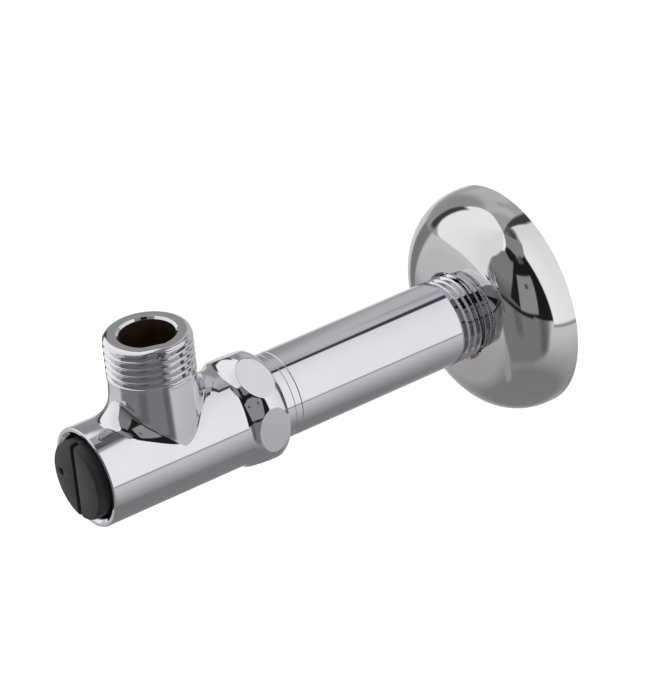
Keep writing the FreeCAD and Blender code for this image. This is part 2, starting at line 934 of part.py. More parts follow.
# Seat gasket between the fixed disc and the seat in the body
def seat_gasket():
    body = new_body("seat_gasket")
    inner = SEAT_HOLE + size("seat_land")
    outer = CAVITY - size("seal_gap")
    lip = size("gasket_lip")
    turned(
        body,
        "gasket",
        [
            (inner, GASKET_FRONT),
            (outer, GASKET_FRONT),
            (outer, SEAT - lip),
            (outer - lip, SEAT),
            (inner + lip, SEAT),
            (inner, SEAT - lip),
        ],
    )
    return body


# Black operating disc: slot across the whole face, mark dimple, square drive hole
def slotted_disc():
    body = new_body("slotted_disc")
    outer = RECESS - size("disc_rim_gap")
    bend = size("disc_edge")
    edge = size("edge_break")
    hub = JOURNAL + size("disc_hub_wall")
    turned(
        body,
        "disc",
        [
            (0, DISC_FRONT),
            (outer - bend, DISC_FRONT, Bend(outer - bend, DISC_FRONT + bend, bend, True)),
            (outer, DISC_FRONT + bend),
            (outer, DISC_BACK - edge),
            (outer - edge, DISC_BACK),
            (hub, DISC_BACK),
            (hub, STEM_FRONT),
            (0, STEM_FRONT),
        ],
    )
    slot = cross_bar(size("disc_slot_width") * 0.5, outer + BEYOND)
    slot_end = DISC_FRONT + size("disc_slot_depth")
    bar_between(body, "face_slot", slot, DISC_FRONT - BEYOND, slot_end, True)
    cut_mark_dimple(body, outer)
    half = size("drive_square") * 0.5
    hole = cross_bar(half, half)
    bar_between(body, "drive_hole", hole, DRIVE_FRONT, STEM_FRONT + BEYOND, True)
    return body


def cut_mark_dimple(body, outer):
    sketch = cross_sketch(body, "dimple_outline", DISC_FRONT)
    circle(sketch, size("dimple_inset") - outer, 0, size("dimple_radius"))
    prism(body, "dimple", sketch, size("dimple_depth") * 2, True)


# Seal rings, each squeezed between a groove and a bore
def seal_ring(name, groove, bore, place):
    body = new_body(name)
    sketch = new_sketch(body, name + "_outline", "XY_Plane")
    circle(sketch, (groove + bore) * 0.5, place, (bore - groove) * 0.5)
    revolve(body, name + "_turned", sketch)
    return body


def seal_rings():
    depth = size("seal_depth")
    half_groove = (depth + size("groove_slack")) * 0.5
    housing_place = HEAD_SEAT + size("groove_land") + half_groove
    tube_place = SPIGOT_START + size("tube_groove_land") + half_groove
    first_seal, second_seal = seal_places()
    groove = JOURNAL - size("spindle_seal_depth")
    bore = JOURNAL_BORE - size("seal_gap")
    return [
        seal_ring("housing_seal_ring", HEAD_THREAD - depth, HEAD_THREAD, housing_place),
        seal_ring("tube_seal_ring", TUBE_GROOVE, PILOT_BORE, tube_place),
        seal_ring("front_spindle_seal_ring", groove, bore, first_seal),
        seal_ring("rear_spindle_seal_ring", groove, bore, second_seal),
    ]


bodies = [
    valve_body(),
    inlet_tube(),
    wall_flange(),
    headwork_housing(),
    spindle(),
    spindle_clip(),
    thrust_washer(),
    moving_ceramic_disc(),
    fixed_ceramic_disc(),
    seat_gasket(),
    slotted_disc(),
]
bodies += seal_rings()
doc.recompute()

failed = [item.Label for item in doc.Objects if "Invalid" in item.State or "Error" in item.State]
if failed:
    raise RuntimeError("failed objects: " + ", ".join(failed))
for body in bodies:
    if body.Shape.isNull() or not body.Shape.isValid() or body.Shape.Volume < MIN_VOLUME:
        raise RuntimeError("bad shape: " + body.Label)
    if len(body.Shape.Solids) != 1:
        raise RuntimeError("not one solid: " + body.Label)

os.makedirs("parts", exist_ok=True)
for body in bodies:
    body.Shape.exportStep("parts/" + body.Label + ".step")
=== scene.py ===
import math

import bmesh
import bpy
import numpy as np
from mathutils import Matrix, Vector


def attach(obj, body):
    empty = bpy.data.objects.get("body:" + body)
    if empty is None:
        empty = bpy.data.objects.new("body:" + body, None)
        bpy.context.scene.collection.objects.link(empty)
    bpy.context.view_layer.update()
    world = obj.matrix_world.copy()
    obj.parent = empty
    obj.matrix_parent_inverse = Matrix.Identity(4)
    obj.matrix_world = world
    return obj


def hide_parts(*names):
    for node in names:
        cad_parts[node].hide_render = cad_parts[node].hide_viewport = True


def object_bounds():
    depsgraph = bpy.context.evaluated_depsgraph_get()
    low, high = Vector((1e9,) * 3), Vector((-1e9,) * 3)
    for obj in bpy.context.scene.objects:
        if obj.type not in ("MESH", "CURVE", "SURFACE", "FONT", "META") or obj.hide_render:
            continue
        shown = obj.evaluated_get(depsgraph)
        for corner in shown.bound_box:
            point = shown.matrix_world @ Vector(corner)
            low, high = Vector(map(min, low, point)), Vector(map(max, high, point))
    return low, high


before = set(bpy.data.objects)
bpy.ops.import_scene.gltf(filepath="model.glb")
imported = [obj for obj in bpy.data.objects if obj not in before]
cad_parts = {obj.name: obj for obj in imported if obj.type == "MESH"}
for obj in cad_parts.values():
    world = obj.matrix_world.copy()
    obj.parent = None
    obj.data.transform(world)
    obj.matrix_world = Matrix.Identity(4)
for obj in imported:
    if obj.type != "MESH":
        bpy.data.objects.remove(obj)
cad_low, cad_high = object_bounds()
scene = bpy.context.scene

# Sizes are in millimetres about the point where the outlet axis meets the valve axis.
# x runs to the right, the valve axis runs towards the wall and z runs up.
MM = 0.001
WALL_TO_OUTLET = 101.0
WELD_STEP = 1e-4
FULL_TURN = 2 * math.pi
QUARTER_TURN = math.pi / 2

# Outer sizes, taken from the solids
SIZE_DIGITS = 3
FLANGE_RADIUS = round(cad_high[0] / MM, SIZE_DIGITS)
OUTLET_HEIGHT = round(cad_high[2] / MM, SIZE_DIGITS)
INLET_REACH = round(cad_high[1] / MM + WALL_TO_OUTLET, SIZE_DIGITS)
DISC_FRONT = round(cad_low[1] / MM + WALL_TO_OUTLET, SIZE_DIGITS)

# Rounding of the edges
EDGE_ROUNDING = 0.1
EDGE_STEPS = 3

# Valve body
FRONT = -20.7
BARREL_RADIUS = 12.25
BARREL_EDGE = 0.3
RIM_CHAMFER = 0.9
RECESS_RADIUS = 10.4
HEAD_SEAT = -13.6
HEAD_THREAD_RADIUS = 9.3
HEAD_THREAD_END = -7.2
CHAMBER_RADIUS = 9.1
SEAT = 9.8
SEAT_HOLE_RADIUS = 5.1
SEAT_BACK = 13.0
INLET_RADIUS = 7.0
INLET_START = 14.55
SOCKET = 17.2
PILOT_BORE_RADIUS = 7.95
PILOT_BORE_END = 22.6
SPIGOT_BORE_RADIUS = 8.55
SPIGOT_BORE_START = 23.0
NECK_END = 33.0

# Branch, its blend into the barrel and the outlet
BRANCH_ROOT_RADIUS = 11.6
BRANCH_TOP_RADIUS = 10.1975
BRANCH_HEIGHT = 19.7
BRANCH_ROWS = 4
BLEND_RADIUS = 5.4
BLEND_STEPS = 14
CONTACT_ROUNDS = 60
HOLE_ROWS = 8
TURN_SAMPLES = 2881
SIDE_ROWS = 30
SIDE_ANGLE = 86.0
OUTLET_SHOULDER = 1.5
SHOULDER_START = OUTLET_HEIGHT - OUTLET_SHOULDER
SHOULDER_STEPS = 8
OUTLET_BORE_RADIUS = 6.65
OUTLET_BORE_CHAMFER = 0.55
BORE_SIDE_ANGLE = 60.0
BORE_ROWS = 8

# Hexagon collar: turned blank with a hollow flare and a round crown, and six flats cut into it
COLLAR_START = 16.5
FLARE_RADIUS = 5.0
FLARE_RISE = 0.53
FLAT_DISTANCE = 13.0
CROWN_RADIUS = 14.25
CROWN_BEND = 7.3
CROWN_FRONT_RADIUS = 13.474
CROWN_PLACE = 23.4
CROWN_BACK_RADIUS = 12.75
COLLAR_END = 28.0
COLLAR_END_RADIUS = 12.5
HEX_SIDES = 6
HEX_STEP = 360.0 / HEX_SIDES
EDGE_DROP = 0.015
EDGE_ROWS = (0.16, 0.09, 0.05, 0.02)
EDGE_COLUMNS = (0.12, 0.35)
FLAT_COLUMNS = 9
FLARE_ROWS = 12
FLAT_ROWS = 6
BACK_ROWS = 8
CROWN_MARGIN = 0.01
RAMP_SAMPLES = 800
COLUMN_GAP = 1e-9
COLUMN_DIGITS = 9

# Neck behind the collar, with a narrow groove and a ring
NECK_RADIUS = 10.44
NECK_ROOT_ROUNDING = 0.05
NECK_GROOVE = (31.14, 31.22, 31.3)
NECK_GROOVE_RADIUS = 10.36
NECK_GROOVE_ROUNDING = 0.02
NECK_RING_RADIUS = 10.48
NECK_EDGE = 0.06
NECK_EDGE_ROUNDING = 0.03

# Pipe thread, half inch, with rounded crests and roots
THREAD_RADIUS = 10.4775
THREAD_PITCH = 1.8143
THREAD_ROUNDING = 0.2491
THREAD_FLANK = math.radians(62.5)
ROUND_LENGTH = THREAD_ROUNDING * math.sin(THREAD_FLANK)
ROUND_DROP = THREAD_ROUNDING * (1 - math.cos(THREAD_FLANK))
ROUND_SHARE = ROUND_LENGTH / THREAD_PITCH
HALF_PHASES = (0.0, ROUND_SHARE / 2, ROUND_SHARE, 0.25, 0.5 - ROUND_SHARE, 0.5 - ROUND_SHARE / 2)
THREAD_PHASES = HALF_PHASES + tuple(phase + 0.5 for phase in HALF_PHASES)
SLOPE_STEP = 0.002
THREAD_FOOT = 20.2
THREAD_FOOT_ROUNDING = 0.12
OUTLET_GROOVE_PLACE = 28.9
OUTLET_GROOVE_ANGLE = math.radians(-32.7)
OUTLET_FADE_IN = (20.3, 21.3)
OUTLET_FADE_OUT = (29.5, 30.1)
END_MARGIN = 0.01

# Inlet tube, from its spigot in the neck to the thread that enters the wall
TUBE_RADIUS = 10.5
TUBE_START = 18.2
TUBE_END = 80.3
TUBE_EDGE = 0.2
TUBE_EDGE_ROUNDING = 0.08
TUBE_BORE_RADIUS = 5.75
TUBE_BORE_CHAMFER = 0.3
CHROMED_BORE = 1.0
PILOT_RADIUS = 7.9
PILOT_CHAMFER = 0.3
RING_GROOVE = (19.5, 21.1)
RING_GROOVE_RADIUS = 6.75
SPIGOT_RADIUS = 8.5
SPIGOT_START = 23.3
RELIEF_RADIUS = 9.3
RELIEF_LENGTH = 0.4
RELIEF_ROUNDING = 0.05
INLET_GROOVE_PLACE = 82.65
INLET_GROOVE_ANGLE = math.radians(55.4)
INLET_THREAD_START = TUBE_END + RELIEF_LENGTH
INLET_LEAD = 0.6
INLET_CHAMFER = 0.9
INLET_CHAMFER_ROWS = 3
INLET_THREAD_END = INLET_REACH - INLET_CHAMFER
INLET_END_RADIUS = 9.2

# Wall flange
FLANGE_FACE = 85.5
FLANGE_HOLE_RADIUS = 11.1
FLANGE_HOLE_EDGE = 0.2
FLANGE_LIP = 1.0
FLANGE_CREASE_RADIUS = 19.3
FLANGE_BEND = 13.7
FLANGE_BLEND = 12.0
FLANGE_SKIRT = 2.0
FLANGE_RIM_ROUNDING = 0.15
FLANGE_WALL = 1.2
FLANGE_COLLAR = 4.0
FLANGE_COLLAR_ROOT = 0.3
FLANGE_SIDES = 144
BLEND_ARC_STEPS = 28
SHOULDER_ARC_STEPS = 20
HOLLOW_ARC_STEPS = 24

# Black operating disc
DISC_BACK = -17.9
DISC_RADIUS = 9.65
DISC_EDGE = 0.9
DISC_BACK_EDGE = 0.3
DISC_SIDES = 128
SOCKET_RING_RADIUS = 4.6
SOCKET_RING_END = -16.9
DRIVE_HALF_WIDTH = 2.1
DRIVE_START = -20.4
SLOT_WIDTH = 1.5
SLOT_DEPTH = 1.9
DIMPLE_PLACE = -6.1
DIMPLE_RADIUS = 0.95
DIMPLE_DEPTH = 0.6
DIMPLE_ROUNDING = 0.25
DIMPLE_SIDES = 32
CUTTER_MARGIN = 1.0
CUTTER_REACH = 12.0
DISC_BEVEL = 0.12
BEVEL_SEGMENTS = 2
BEVEL_ANGLE = 40.0
SMOOTH_ANGLE = 30.0


# Mesh building
class Shell:
    """Mesh made of grids of points that bring their exact normals; equal points are welded."""

    def __init__(self):
        self.corners = []
        self.normals = []
        self.slots = []

    def grid(self, points, normals, slot=0):
        """Add rows and columns of points as quads."""
        self.corners.append(quads_of(points))
        self.normals.append(quads_of(np.broadcast_to(normals, points.shape)))
        self.slots.append(np.full(len(self.corners[-1]), slot))

    def build(self, name, materials):
        corners, normals, slots = map(np.concatenate, (self.corners, self.normals, self.slots))
        keys = np.round(corners.reshape(-1, 3) / WELD_STEP).astype(np.int64)
        _, first, index = np.unique(keys, axis=0, return_index=True, return_inverse=True)
        places = corners.reshape(-1, 3)[first]
        quads = index.reshape(-1, 4)
        facing = np.cross(corners[:, 2] - corners[:, 0], corners[:, 3] - corners[:, 1])
        backwards = np.einsum("ij,ij->i", facing, normals.sum(axis=1)) < 0
        quads[backwards] = quads[backwards][:, ::-1]
        normals[backwards] = normals[backwards][:, ::-1]
        faces, loop_normals, face_slots = [], [], []
        for quad, quad_normals, slot in zip(quads, normals, slots):
            kept = [spot for spot in range(4) if quad[spot] != quad[spot - 1]]
            if len(kept) > 2 and len(set(quad[kept])) == len(kept):
                faces.append([int(quad[spot]) for spot in kept])
                loop_normals.extend(quad_normals[spot] for spot in kept)
                face_slots.append(int(slot))
        mesh = bpy.data.meshes.new(name)
        mesh.from_pydata(in_frame(places), [], faces)
        for material in materials:
            mesh.materials.append(material)
        mesh.polygons.foreach_set("material_index", face_slots)
        mesh.polygons.foreach_set("use_smooth", [True] * len(faces))
        if mesh.validate():
            raise RuntimeError("faces were dropped from " + name)
        mesh.normals_split_custom_set([tuple(normal) for normal in loop_normals])
        return add_piece(name, mesh)


def quads_of(rows):
    return np.stack([rows[:-1, :-1], rows[1:, :-1], rows[1:, 1:], rows[:-1, 1:]], axis=2).reshape(-1, 4, 3)


def in_frame(places):
    """Millimetres about the crossing of the axes to metres in the shared frame."""
    return [(x * MM, (place - WALL_TO_OUTLET) * MM, z * MM) for x, place, z in places]


def add_piece(name, mesh):
    piece = bpy.data.objects.new(name, mesh)
    scene.collection.objects.link(piece)
    return piece


def around_valve(across, along, angles):
    """Angles start at the top and turn towards the right side."""
    across, along, angles = np.broadcast_arrays(across, along, angles)
    return np.stack([across * np.sin(angles), along, across * np.cos(angles)], axis=-1)


def around_branch(across, along, angles):
    """Angles start at the right side and turn towards the wall."""
    return around_valve(across, along, angles)[..., [2, 0, 1]]


def straight(start, end, steps=1):
    """Stretch of a profile: rows of radius, place and the normal's two parts."""
    start, end = np.array(start, float), np.array(end, float)
    run = (end - start) / np.linalg.norm(end - start)
    return np.array([[*spot, run[1], -run[0]] for spot in np.linspace(start, end, steps + 1)])


def arc(center, radius, start, end, steps, side=1):
    """Round stretch of a profile between two angles; side is -1 on a hollow one."""
    angles = np.linspace(start, end, steps + 1)
    rays = np.column_stack([np.cos(angles), np.sin(angles)])
    return np.hstack([np.array(center) + radius * rays, side * rays])


def profile(points):
    """Stretches through points of radius and place, each corner rounded; a third number sets its radius."""
    spots = [np.array(point[:2], float) for point in points]
    stretches = []
    start = spots[0]
    for point, before, here, after in zip(points[1:-1], spots, spots[1:], spots[2:]):
        edge = point[2] if len(point) > 2 else EDGE_ROUNDING
        arriving = (here - before) / np.linalg.norm(here - before)
        leaving = (after - here) / np.linalg.norm(after - here)
        cross = arriving[0] * leaving[1] - arriving[1] * leaving[0]
        turn = math.atan2(cross, float(arriving @ leaving))
        reach = edge * math.tan(abs(turn) / 2)
        side = math.copysign(1, turn)
        end = here - arriving * reach
        stretches.append(straight(start, end))
        normal = np.array([arriving[1], -arriving[0]])
        base = math.atan2(normal[1], normal[0])
        stretches.append(arc(end - side * edge * normal, side * edge, base, base + turn, EDGE_STEPS))
        start = here + leaving * reach
    stretches.append(straight(start, spots[-1]))
    return stretches


def revolve(shell, stretches, angles, slot=0, about=around_valve):
    for stretch in stretches:
        across, along, normal_across, normal_along = stretch.T[..., None]
        shell.grid(about(across, along, angles), about(normal_across, normal_along, angles), slot)


def lathe(shell, points, angles, slot=0, about=around_valve):
    """Turned surface through points of radius and place."""
    revolve(shell, profile(points), angles, slot, about)


def even_columns():
    """Angles round the valve axis, closer together where the hexagon's flats run out."""
    reach = math.acos(FLAT_DISTANCE / CROWN_RADIUS)
    inside = list(reach * np.sin(np.linspace(0, QUARTER_TURN, FLAT_COLUMNS, endpoint=False)))
    close = [math.radians(step) for step in EDGE_COLUMNS]
    beside = [reach - step for step in close] + [reach] + [reach + step for step in close]
    half = math.radians(HEX_STEP / 2)
    offsets = inside + beside + [(reach + half) / 2, half]
    offsets += [-offset for offset in offsets]
    middles = np.radians(HEX_STEP * (np.arange(HEX_SIDES) + 0.5))
    angles = {round(middle + offset, COLUMN_DIGITS) for middle in middles for offset in offsets}
    return np.array(sorted(angles))


COLUMNS = even_columns()


def nearest_column(angle):
    return COLUMNS[np.argmin(np.abs(COLUMNS - math.radians(angle)))]


def columns_between(low, high):
    inside = (COLUMNS > low + COLUMN_GAP) & (COLUMNS < high - COLUMN_GAP)
    return np.concatenate([[low], COLUMNS[inside], [high]])


# Tube walls with a hole in their upper side
def window_frame(half_angle, low, high, rows, columns):
    """Points of angle and place round a rectangle on a tube, from its right lower corner."""
    places = np.linspace(low, high, rows + 1)
    right = [(half_angle, place) for place in places[:-1]]
    top = [(angle, high) for angle in columns[::-1][:-1]]
    left = [(-half_angle, place) for place in places[::-1][:-1]]
    bottom = [(angle, low) for angle in columns[:-1]]
    return np.array(right + top + left + bottom)


def hole_turns(border, radius, hole_angle, hole_place):
    """Turn about the branch axis at which the hole lies in line with each border point."""
    turns = np.linspace(-FULL_TURN, FULL_TURN, TURN_SAMPLES)
    lines = np.unwrap(np.arctan2(hole_place(turns), radius * hole_angle(turns)))
    wanted = np.unwrap(np.arctan2(border[:, 1], radius * border[:, 0]))
    return np.interp(wanted, lines, turns)


def add_wall(shell, radius, places, angles, facing, slot):
    shell.grid(around_valve(radius, places, angles), around_valve(facing, 0.0, angles), slot)


def add_pierced_tube(shell, radius, places, side, rows, hole_angle, hole_place, facing=1.0, slot=0):
    """Wall with a window round the top, a hole in it and the plain rest; returns the hole's columns."""
    low, high = places
    right = columns_between(0.0, side)
    left = columns_between(FULL_TURN - side, FULL_TURN) - FULL_TURN
    border = window_frame(side, low, high, rows, np.concatenate([left[:-1], right]))
    turns = hole_turns(border, radius, hole_angle, hole_place)
    hole = np.column_stack([hole_angle(turns), hole_place(turns)])
    inner = np.vstack([hole, hole[:1]])
    outer = np.vstack([border, border[:1]])
    share = np.linspace(0, 1, HOLE_ROWS + 1)[:, None, None]
    spots = inner + (outer - inner) * share
    add_wall(shell, radius, spots[..., 1], spots[..., 0], facing, slot)
    places = np.linspace(low, high, rows + 1)[:, None]
    add_wall(shell, radius, places, columns_between(side, FULL_TURN - side), facing, slot)
    return np.append(turns, turns[0] + FULL_TURN)


# Ball that rolls between barrel and branch and leaves the blend
CONE_SLOPE = (BRANCH_ROOT_RADIUS - BRANCH_TOP_RADIUS) / BRANCH_HEIGHT
CONE_TILT = math.atan(CONE_SLOPE)


def cone_radius(height):
    return BRANCH_ROOT_RADIUS - CONE_SLOPE * height


def ball_contact(turns):
    """Height at which the ball touches the branch, at each turn about its axis."""
    reach = BARREL_RADIUS + BLEND_RADIUS
    height = np.full(np.shape(turns), BLEND_RADIUS)
    for _ in range(CONTACT_ROUNDS):
        across = cone_radius(height) + BLEND_RADIUS * math.cos(CONE_TILT)
        height = np.sqrt(reach**2 - (across * np.cos(turns)) ** 2) - BLEND_RADIUS * math.sin(CONE_TILT)
    return height


def ball_center(turns):
    height = ball_contact(turns)
    across = cone_radius(height) + BLEND_RADIUS * math.cos(CONE_TILT)
    return around_branch(across, height + BLEND_RADIUS * math.sin(CONE_TILT), turns)


def blend_angle(turns):
    center = ball_center(turns)
    return np.arctan2(center[..., 0], center[..., 2])


def blend_place(turns):
    return ball_center(turns)[..., 1]


def add_blend(shell, turns):
    center = ball_center(turns)
    height = ball_contact(turns)
    on_branch = around_branch(cone_radius(height), height, turns) - center
    on_barrel = around_valve(BARREL_RADIUS, center[:, 1], blend_angle(turns)) - center
    first = on_barrel / BLEND_RADIUS
    last = on_branch / BLEND_RADIUS
    spread = np.arccos(np.sum(first * last, axis=1))[:, None]
    share = np.linspace(0, 1, BLEND_STEPS + 1)[:, None, None]
    rays = (np.sin((1 - share) * spread) * first + np.sin(share * spread) * last) / np.sin(spread)
    shell.grid(center + BLEND_RADIUS * rays, -rays)


def add_branch(shell, turns):
    foot = ball_contact(turns)
    share = np.linspace(0, 1, BRANCH_ROWS + 1)[:, None]
    heights = foot + (BRANCH_HEIGHT - foot) * share
    points = around_branch(cone_radius(heights), heights, turns)
    normals = around_branch(math.cos(CONE_TILT), math.sin(CONE_TILT), turns)
    shell.grid(points, normals)
    step = [
        (BRANCH_TOP_RADIUS, BRANCH_HEIGHT),
        (THREAD_RADIUS, BRANCH_HEIGHT, THREAD_FOOT_ROUNDING),
        (THREAD_RADIUS, THREAD_FOOT),
    ]
    lathe(shell, step, turns, about=around_branch)


# Pipe thread
def groove_depth(distance):
    """Depth below the crest at a distance from it along the axis."""
    half = THREAD_PITCH / 2
    flank = ROUND_DROP + (distance - ROUND_LENGTH) * math.tan(THREAD_FLANK)
    depth = 2 * ROUND_DROP + (half - 2 * ROUND_LENGTH) * math.tan(THREAD_FLANK)
    near = np.clip(distance, 0, ROUND_LENGTH)
    far = np.clip(half - distance, 0, ROUND_LENGTH)
    crest = THREAD_ROUNDING - np.sqrt(THREAD_ROUNDING**2 - near**2)
    root = depth - THREAD_ROUNDING + np.sqrt(THREAD_ROUNDING**2 - far**2)
    return np.where(distance < ROUND_LENGTH, crest, np.where(distance > half - ROUND_LENGTH, root, flank))


def smooth(value, low, high):
    share = np.clip((value - low) / (high - low), 0, 1)
    return share * share * (3 - 2 * share)


def turned_normal(radius_at, places, angles, about):
    """Normal of a surface round an axis whose radius is known at every place and angle."""
    rise = radius_at(places + SLOPE_STEP, angles) - radius_at(places - SLOPE_STEP, angles)
    turn = radius_at(places, angles + SLOPE_STEP) - radius_at(places, angles - SLOPE_STEP)
    slope_along = (rise / (2 * SLOPE_STEP))[..., None]
    slope_round = (turn / (2 * SLOPE_STEP) / radius_at(places, angles))[..., None]
    sideways = about(1.0, 0.0, angles + QUARTER_TURN)
    normal = about(1.0, 0.0, angles) - sideways * slope_round - about(0.0, 1.0, angles) * slope_along
    return normal / np.linalg.norm(normal, axis=-1, keepdims=True)


class Thread:
    """Right-hand thread with a groove at a stated place and angle; the limits hold its ends."""

    def __init__(self, groove_place, groove_angle, fade, limit):
        self.groove_place = groove_place
        self.groove_angle = groove_angle
        self.fade = fade
        self.limit = limit

    def groove_at(self, angles):
        return self.groove_place + THREAD_PITCH * (angles - self.groove_angle) / FULL_TURN

    def radius(self, places, angles):
        turns = (places - self.groove_at(angles)) / THREAD_PITCH
        distance = THREAD_PITCH * (0.5 - np.abs(turns - np.round(turns)))
        cut = THREAD_RADIUS - self.fade(places) * groove_depth(distance)
        return np.minimum(cut, self.limit(places))

    def add(self, shell, low, high, angles, about):
        first = math.floor((low - self.groove_place) / THREAD_PITCH) - 2
        last = math.ceil((high - self.groove_place) / THREAD_PITCH) + 2
        phases = (np.arange(first, last)[:, None] + THREAD_PHASES).ravel()
        places = np.clip(self.groove_at(angles) + THREAD_PITCH * phases[:, None], low, high)
        kept = (places.max(axis=1) > low) & (places.min(axis=1) < high)
        start, end = np.flatnonzero(kept)[[0, -1]]
        places = places[max(start - 1, 0) : end + 2]
        spread = np.broadcast_to(angles, places.shape)
        points = about(self.radius(places, spread), places, spread)
        shell.grid(points, turned_normal(self.radius, places, spread, about))

    def add_end(self, shell, rows, angles, about):
        """Round or chamfered end that cuts through the thread, given as a stretch of a profile."""
        limit, places, across, along, spread = np.broadcast_arrays(*rows.T[..., None], angles)
        cut = self.radius(places, spread)
        on_end = (cut >= limit - END_MARGIN)[..., None]
        thread_normals = turned_normal(self.radius, places, spread, about)
        normals = np.where(on_end, about(across, along, spread), thread_normals)
        shell.grid(about(np.minimum(cut, limit), places, spread), normals)


def shoulder_limit(places):
    rise = np.clip(places - SHOULDER_START, 0, OUTLET_SHOULDER)
    return THREAD_RADIUS - OUTLET_SHOULDER + np.sqrt(OUTLET_SHOULDER**2 - rise**2)


def outlet_fade(places):
    return smooth(places, *OUTLET_FADE_IN) * (1 - smooth(places, *OUTLET_FADE_OUT))


def add_outlet_thread(shell, turns):
    thread = Thread(OUTLET_GROOVE_PLACE, OUTLET_GROOVE_ANGLE, outlet_fade, shoulder_limit)
    thread.add(shell, THREAD_FOOT, SHOULDER_START, turns, around_branch)
    center = (THREAD_RADIUS - OUTLET_SHOULDER, SHOULDER_START)
    shoulder = arc(center, OUTLET_SHOULDER, 0.0, QUARTER_TURN, SHOULDER_STEPS)
    thread.add_end(shell, shoulder, turns, around_branch)


# Hexagon collar
def half_chord(radius, rise):
    """Distance along the axis over which an arc climbs or falls by a rise."""
    return np.sqrt(np.maximum(radius**2 - (radius - rise) ** 2, 0))


FLARE_END = COLLAR_START + half_chord(FLARE_RADIUS, FLARE_RISE)
CROWN_START = CROWN_PLACE - half_chord(CROWN_BEND, CROWN_RADIUS - CROWN_FRONT_RADIUS)
CROWN_END = CROWN_PLACE + half_chord(CROWN_BEND, CROWN_RADIUS - CROWN_BACK_RADIUS)


def blank_radius(places):
    """Radius of the collar's turned blank."""
    along = np.clip(places - COLLAR_START, 0, FLARE_RADIUS)
    flare = BARREL_RADIUS + FLARE_RADIUS - np.sqrt(FLARE_RADIUS**2 - along**2)
    from_crown = np.clip(places - CROWN_PLACE, -CROWN_BEND, CROWN_BEND)
    crown = CROWN_RADIUS - CROWN_BEND + np.sqrt(CROWN_BEND**2 - from_crown**2)
    cone = np.interp(places, [FLARE_END, CROWN_START], [BARREL_RADIUS + FLARE_RISE, CROWN_FRONT_RADIUS])
    return np.where(places < FLARE_END, flare, np.where(places < CROWN_START, cone, crown))


def collar_radius(places, offsets):
    """Blank or flat, whichever is lower, with a soft edge between them."""
    blank = blank_radius(places)
    flat = FLAT_DISTANCE / np.cos(offsets)
    return (blank + flat) / 2 - np.sqrt((blank - flat) ** 2 / 4 + EDGE_DROP**2)


def flat_ends(offsets):
    """Places at which a flat begins and ends, across its width; both are one beyond it."""
    radius = FLAT_DISTANCE / np.cos(offsets)
    reach = half_chord(CROWN_BEND, CROWN_RADIUS - np.minimum(radius, CROWN_RADIUS))
    ramp = np.linspace(COLLAR_START, CROWN_PLACE, RAMP_SAMPLES)
    front = np.interp(radius, blank_radius(ramp), ramp)
    front = np.where(radius > CROWN_FRONT_RADIUS, CROWN_PLACE - reach, front)
    return front, CROWN_PLACE + reach


def add_collar(shell):
    for side in range(HEX_SIDES):
        add_collar_side(shell, math.radians(HEX_STEP * (side + 0.5)))


def add_collar_side(shell, middle):
    """One flat, with the round stretches before and behind it."""
    half = math.radians(HEX_STEP / 2)
    columns = columns_between(middle - half, middle + half)

    def radius_at(places, angles):
        return collar_radius(places, angles - middle)

    places = collar_rows(columns - middle)
    angles = np.broadcast_to(columns, places.shape)
    points = around_valve(radius_at(places, angles), places, angles)
    for end in (0, -1):
        points[end] = around_valve(blank_radius(places[end]), places[end], columns)
    shell.grid(points, turned_normal(radius_at, places, angles, around_valve))


def collar_rows(offsets):
    """Rows of places along the collar, closer together at both edges of a flat."""
    front, back = flat_ends(offsets)
    margin = EDGE_ROWS[0]
    half = (back - front) / 2
    flare = front - margin - COLLAR_START
    rows = [COLLAR_START + flare * share for share in np.linspace(0, 1, FLARE_ROWS)]
    rows += [front - step for step in EDGE_ROWS[1:]] + [front]
    rows += [front + np.minimum(step, half) for step in EDGE_ROWS[::-1]]
    start, end = front + np.minimum(margin, half), back - np.minimum(margin, half)
    rows += [start + (end - start) * share for share in np.linspace(0, 1, FLAT_ROWS)[1:-1]]
    rows += [back - np.minimum(step, half) for step in EDGE_ROWS] + [back]
    rows += [back + step for step in EDGE_ROWS[::-1][:-1]]
    start = np.minimum(back + margin, CROWN_END - CROWN_MARGIN)
    rows += [start + (CROWN_END - start) * share for share in np.linspace(0, 1, BACK_ROWS)]
    return np.maximum.accumulate(np.array(rows), axis=0)


# Valve body
def chamber_hole_angle(turns):
    return np.arcsin(OUTLET_BORE_RADIUS * np.cos(turns) / CHAMBER_RADIUS)


def bore_place(turns):
    return OUTLET_BORE_RADIUS * np.sin(turns)


def add_barrel(shell):
    """Barrel's wall with the hole that the blend leaves; returns the blend's columns."""
    places = (FRONT + BARREL_EDGE, COLLAR_START)
    side = nearest_column(SIDE_ANGLE)
    return add_pierced_tube(shell, BARREL_RADIUS, places, side, SIDE_ROWS, blend_angle, blend_place)


def add_chamber(shell, count):
    """Water chamber with the outlet bore in its upper side; returns as many columns as are asked for."""
    side = nearest_column(BORE_SIDE_ANGLE)
    across = 2 * (len(columns_between(0.0, side)) - 1)
    rows = (count - 2 * across) // 2
    places = (HEAD_THREAD_END, SEAT)
    shape = (CHAMBER_RADIUS, places, side, rows, chamber_hole_angle, bore_place)
    return add_pierced_tube(shell, *shape, facing=-1.0, slot=1)


